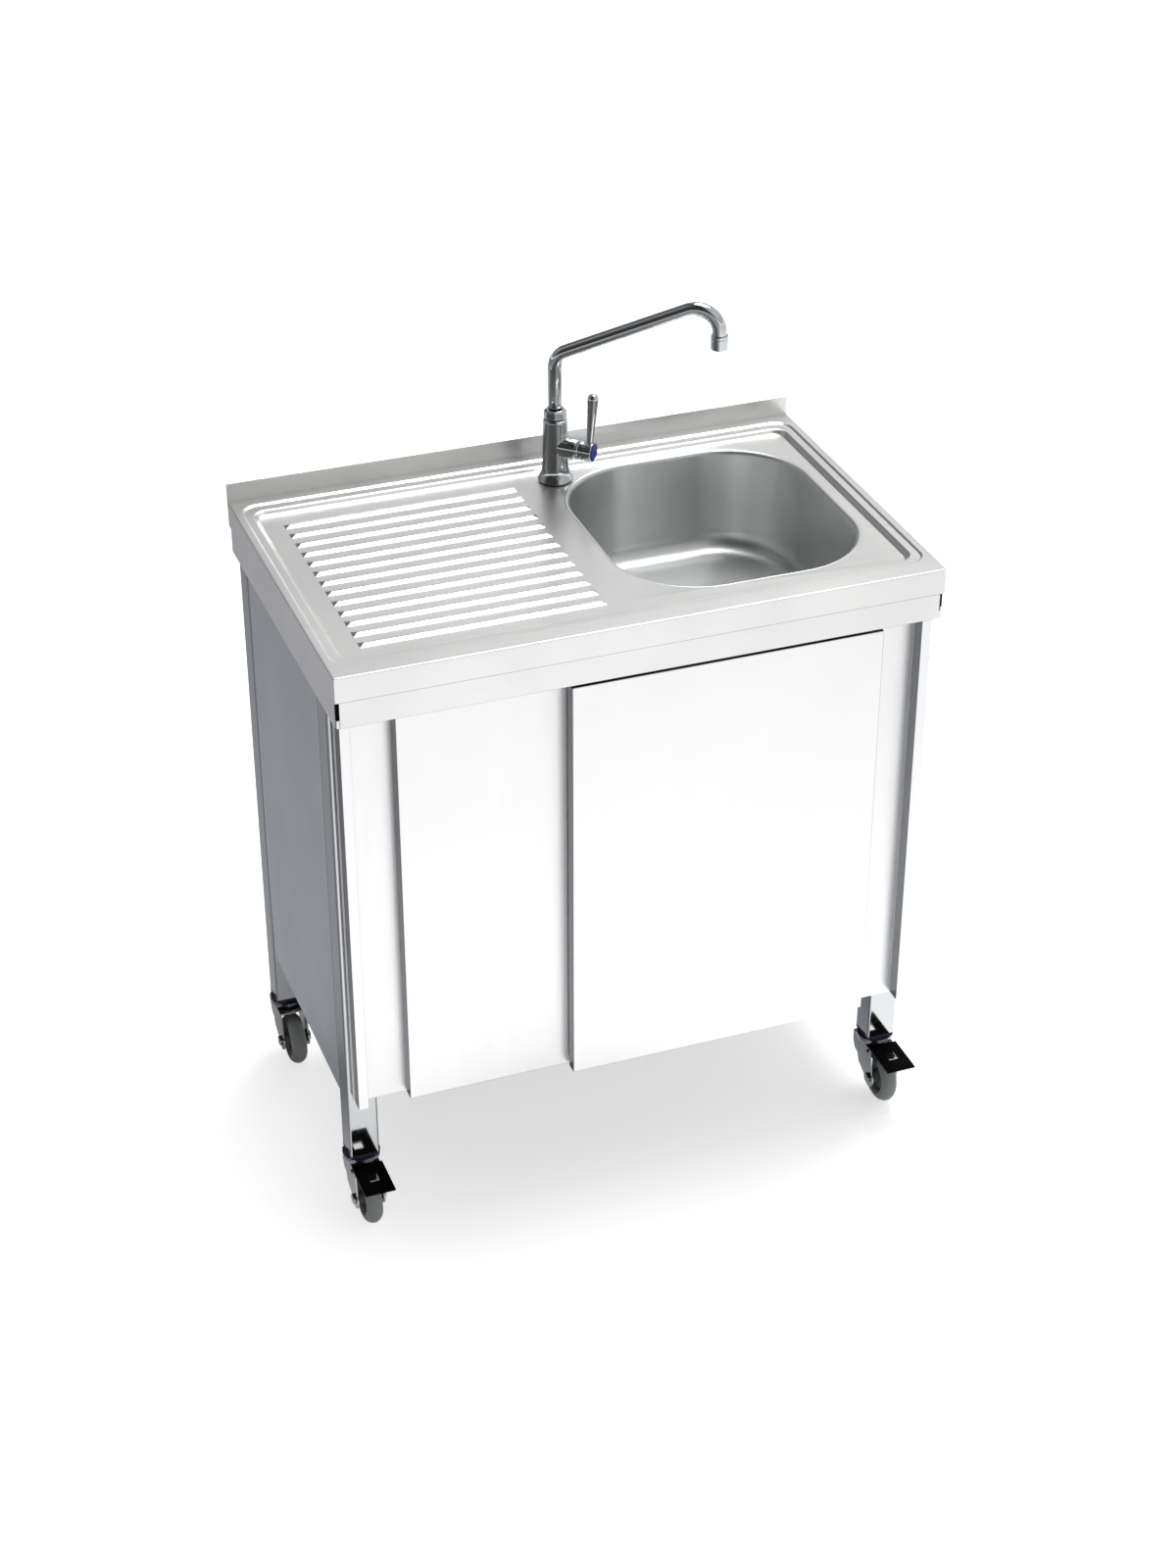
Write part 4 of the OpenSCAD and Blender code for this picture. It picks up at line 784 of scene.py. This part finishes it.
for step, value in (("ABSOLUTE", (0, 0, 0)), ("SUBTRACT", half_footprint), ("MAXIMUM", (0, 0, 0))):
    beside = add(tree, "ShaderNodeVectorMath", {0: beside.outputs["Vector"], 1: value}, operation=step)
beside = add(tree, "ShaderNodeVectorMath", {0: beside.outputs["Vector"]}, operation="LENGTH")
direct = add(tree, "ShaderNodeMapRange", {"Value": beside.outputs["Value"], "From Min": 0.0,
                                          "From Max": fade, "To Min": lift_under, "To Max": lift_beside},
             interpolation_type="SMOOTHSTEP")

# %% [markdown]
# Steel shows the floor as a mirror does, so the floor's tone makes the tone of doors and panels. In the
# mirror the floor is dark under the cabinet, bright close to it and duller far off. Towards the left and
# the back it is grey, as in a studio that is open to one side only: the left panel, the legs' sides and the
# bands beside the doors get their grey from there.

# %% What metal mirrors of the floor
mirror_middle = (-0.02, -0.08, 0.0)
near, far, near_tone, far_tone = 0.35, 1.3, 0.85, 0.50
covered, clear, covered_tone = 0.22, 0.45, 0.1
# grey sets in with the distance behind the floor's diagonal, or left of left_edge
left_edge, grey_from, grey_full, grey_least, grey_most = -0.3, 0.1, 0.6, 0.10, 0.82
away = add(tree, "ShaderNodeVectorMath", {0: place, 1: mirror_middle}, operation="DISTANCE")
front = add(tree, "ShaderNodeMapRange", {"Value": away.outputs["Value"], "From Min": near,
                                         "From Max": far, "To Min": near_tone, "To Max": far_tone},
            interpolation_type="SMOOTHSTEP")
under = add(tree, "ShaderNodeMapRange", {"Value": away.outputs["Value"], "From Min": covered,
                                         "From Max": clear, "To Min": covered_tone, "To Max": 1.0},
            interpolation_type="SMOOTHSTEP")
mirror = add(tree, "ShaderNodeMath", {0: under.outputs["Result"], 1: front.outputs["Result"]},
             operation="MULTIPLY")
spot = add(tree, "ShaderNodeSeparateXYZ", {0: place})
behind = add(tree, "ShaderNodeMath", {0: spot.outputs["Y"], 1: spot.outputs["X"]}, operation="SUBTRACT")
beyond = add(tree, "ShaderNodeMath", {0: left_edge, 1: spot.outputs["X"]}, operation="SUBTRACT")
slant = add(tree, "ShaderNodeMath", {0: behind.outputs[0], 1: beyond.outputs[0]}, operation="MAXIMUM")
corner_grey = add(tree, "ShaderNodeMapRange", {"Value": slant.outputs[0], "From Min": grey_from,
                                               "From Max": grey_full, "To Min": grey_least,
                                               "To Max": grey_most}, interpolation_type="SMOOTHSTEP")
dim = add(tree, "ShaderNodeMath", {0: corner_grey.outputs["Result"], 1: path.outputs["Is Glossy Ray"]},
          operation="MULTIPLY")

# %% [markdown]
# The paint adds the two: a dull cover that takes the lamps' light and the shadow, and the lift as a light
# of its own. Where the mirrored floor is grey, the cover is darker and the lift is smaller.

# %% Floor paint
lift = add(tree, "ShaderNodeMix", {0: path.outputs["Is Glossy Ray"], 2: direct.outputs["Result"],
                                   3: mirror.outputs[0]}, data_type="FLOAT")
lift = add(tree, "ShaderNodeMath", {0: seen.outputs[0], 1: lift.outputs[0]}, operation="MULTIPLY")
kept = add(tree, "ShaderNodeMath", {0: 1.0, 1: dim.outputs[0]}, operation="SUBTRACT")
lift = add(tree, "ShaderNodeMath", {0: lift.outputs[0], 1: kept.outputs[0]}, operation="MULTIPLY")
glow = add(tree, "ShaderNodeEmission", {"Strength": lift.outputs[0]})
shade = add(tree, "ShaderNodeMix", {0: dim.outputs[0]}, data_type="RGBA")
shade.inputs[6].default_value = linear("#EDEDED")
shade.inputs[7].default_value = linear("#9A9BA1")
cover = add(tree, "ShaderNodeBsdfDiffuse", {"Color": shade.outputs[2]})
both = add(tree, "ShaderNodeAddShader", {0: glow.outputs[0], 1: cover.outputs[0]})
add(tree, "ShaderNodeOutputMaterial", {"Surface": both.outputs[0]})
floor_data.materials.append(paint)
print("the floor's paint has", len(tree.nodes), "nodes")

# %% [markdown]
# A studio has soft light from all round. The world is a pale dome. Its tone changes with height, with a
# white band along the horizon where it meets the floor, and from left to right, with a dark stretch left of
# the middle: polished steel has its contrast from such a change. One more dark patch lies high on the left
# side, next to the camera.

# %% World
# (position, tone) stops: from the horizon up, and from the left to the right
by_height = ((0.06, 1), (0.12, 0.53), (0.22, 0.50), (0.53, 0.64), (0.80, 0.60), (1, 0.62))
by_side = ((0, 0.5), (0.24, 0.55), (0.33, 0.15), (0.47, 0.22), (0.60, 1))
dark_towards = (-0.72, -0.48, 0.50)
world = bpy.data.worlds.new("studio")
bpy.context.scene.world = world
sky = empty_tree(world)
towards = add(sky, "ShaderNodeTexCoord").outputs["Generated"]
direction = add(sky, "ShaderNodeSeparateXYZ", {0: towards})
across = add(sky, "ShaderNodeMapRange", {"Value": direction.outputs["X"], "From Min": -1.0, "From Max": 1.0})
height = add(sky, "ShaderNodeValToRGB", {0: direction.outputs["Z"]})
left = add(sky, "ShaderNodeValToRGB", {0: across.outputs["Result"]})
for ramp, stops in ((height, by_height), (left, by_side)):
    marks = ramp.color_ramp.elements
    marks.remove(marks[1])
    marks[0].position = stops[0][0]
    marks[0].color = (stops[0][1], stops[0][1], stops[0][1], 1)
    for position, tone in stops[1:]:
        marks.new(position).color = (tone, tone, tone, 1)
patch = add(sky, "ShaderNodeVectorMath", {0: towards, 1: dark_towards}, operation="DOT_PRODUCT")
patch = add(sky, "ShaderNodeMapRange", {"Value": patch.outputs["Value"], "From Min": 0.62, "From Max": 0.95,
                                        "To Min": 1.0, "To Max": 0.15}, interpolation_type="SMOOTHSTEP")
level = add(sky, "ShaderNodeMath", {0: left.outputs[0], 1: patch.outputs["Result"]}, operation="MULTIPLY")
horizon = add(sky, "ShaderNodeMapRange", {"Value": direction.outputs["Z"], "From Min": 0.06,
                                          "From Max": 0.12, "To Min": 1.0, "To Max": 0.0})
level = add(sky, "ShaderNodeMath", {0: level.outputs[0], 1: horizon.outputs["Result"]}, operation="MAXIMUM")
dome = add(sky, "ShaderNodeBackground", {"Color": height.outputs[0], "Strength": level.outputs[0]})
add(sky, "ShaderNodeOutputWorld", {"Surface": dome.outputs[0]})
print("the world has", len(sky.nodes), "nodes")

# %% [markdown]
# One large lamp, high on the right and a little to the back, gives the shapes a direction. A weaker one in
# front on the left fills the shadows of casters and legs, and metal doesn't mirror it.

# %% Lamps
def lamp(name, place, target, size, watts):
    """A square area lamp that looks at target."""
    data = bpy.data.lights.new(name, "AREA")
    data.size = size
    data.energy = watts
    made = bpy.data.objects.new(name, data)
    made.location = place
    made.rotation_euler = (Vector(target) - Vector(place)).to_track_quat("-Z", "Y").to_euler()
    bpy.context.scene.collection.objects.link(made)
    print(f"{name}: {watts} W from {place}")
    return made


lamp("key", place=(1.0, 0.75, 3.9), target=(0, 0, 0.8), size=1.8, watts=96)
fill = lamp("fill", place=(-1.3, -2.8, 1.5), target=(0, 0, 0.2), size=2.4, watts=16)
fill.visible_glossy = False

# %% [markdown]
# The camera stands where the photo was taken: its place was worked out from the edges of the worktop, the
# legs and the wheels. The frame is 1200 by 1600 pixels, and the sensor's 36 mm lie along the long side.

# %% Camera
camera_data = bpy.data.cameras.new("camera")
camera_data.lens = 65.28
camera_data.sensor_width = 36
camera = bpy.data.objects.new("camera", camera_data)
camera.location = (-1.1281, -3.0572, 2.5152)
aim = Vector((0.0123, 0.009, 0.4808))
camera.rotation_euler = (aim - camera.location).to_track_quat("-Z", "Y").to_euler()
bpy.context.scene.collection.objects.link(camera)
bpy.context.scene.camera = camera
bpy.context.scene.view_settings.view_transform = "Standard"
print("the camera is", round((aim - camera.location).length, 2), "m from what it looks at")
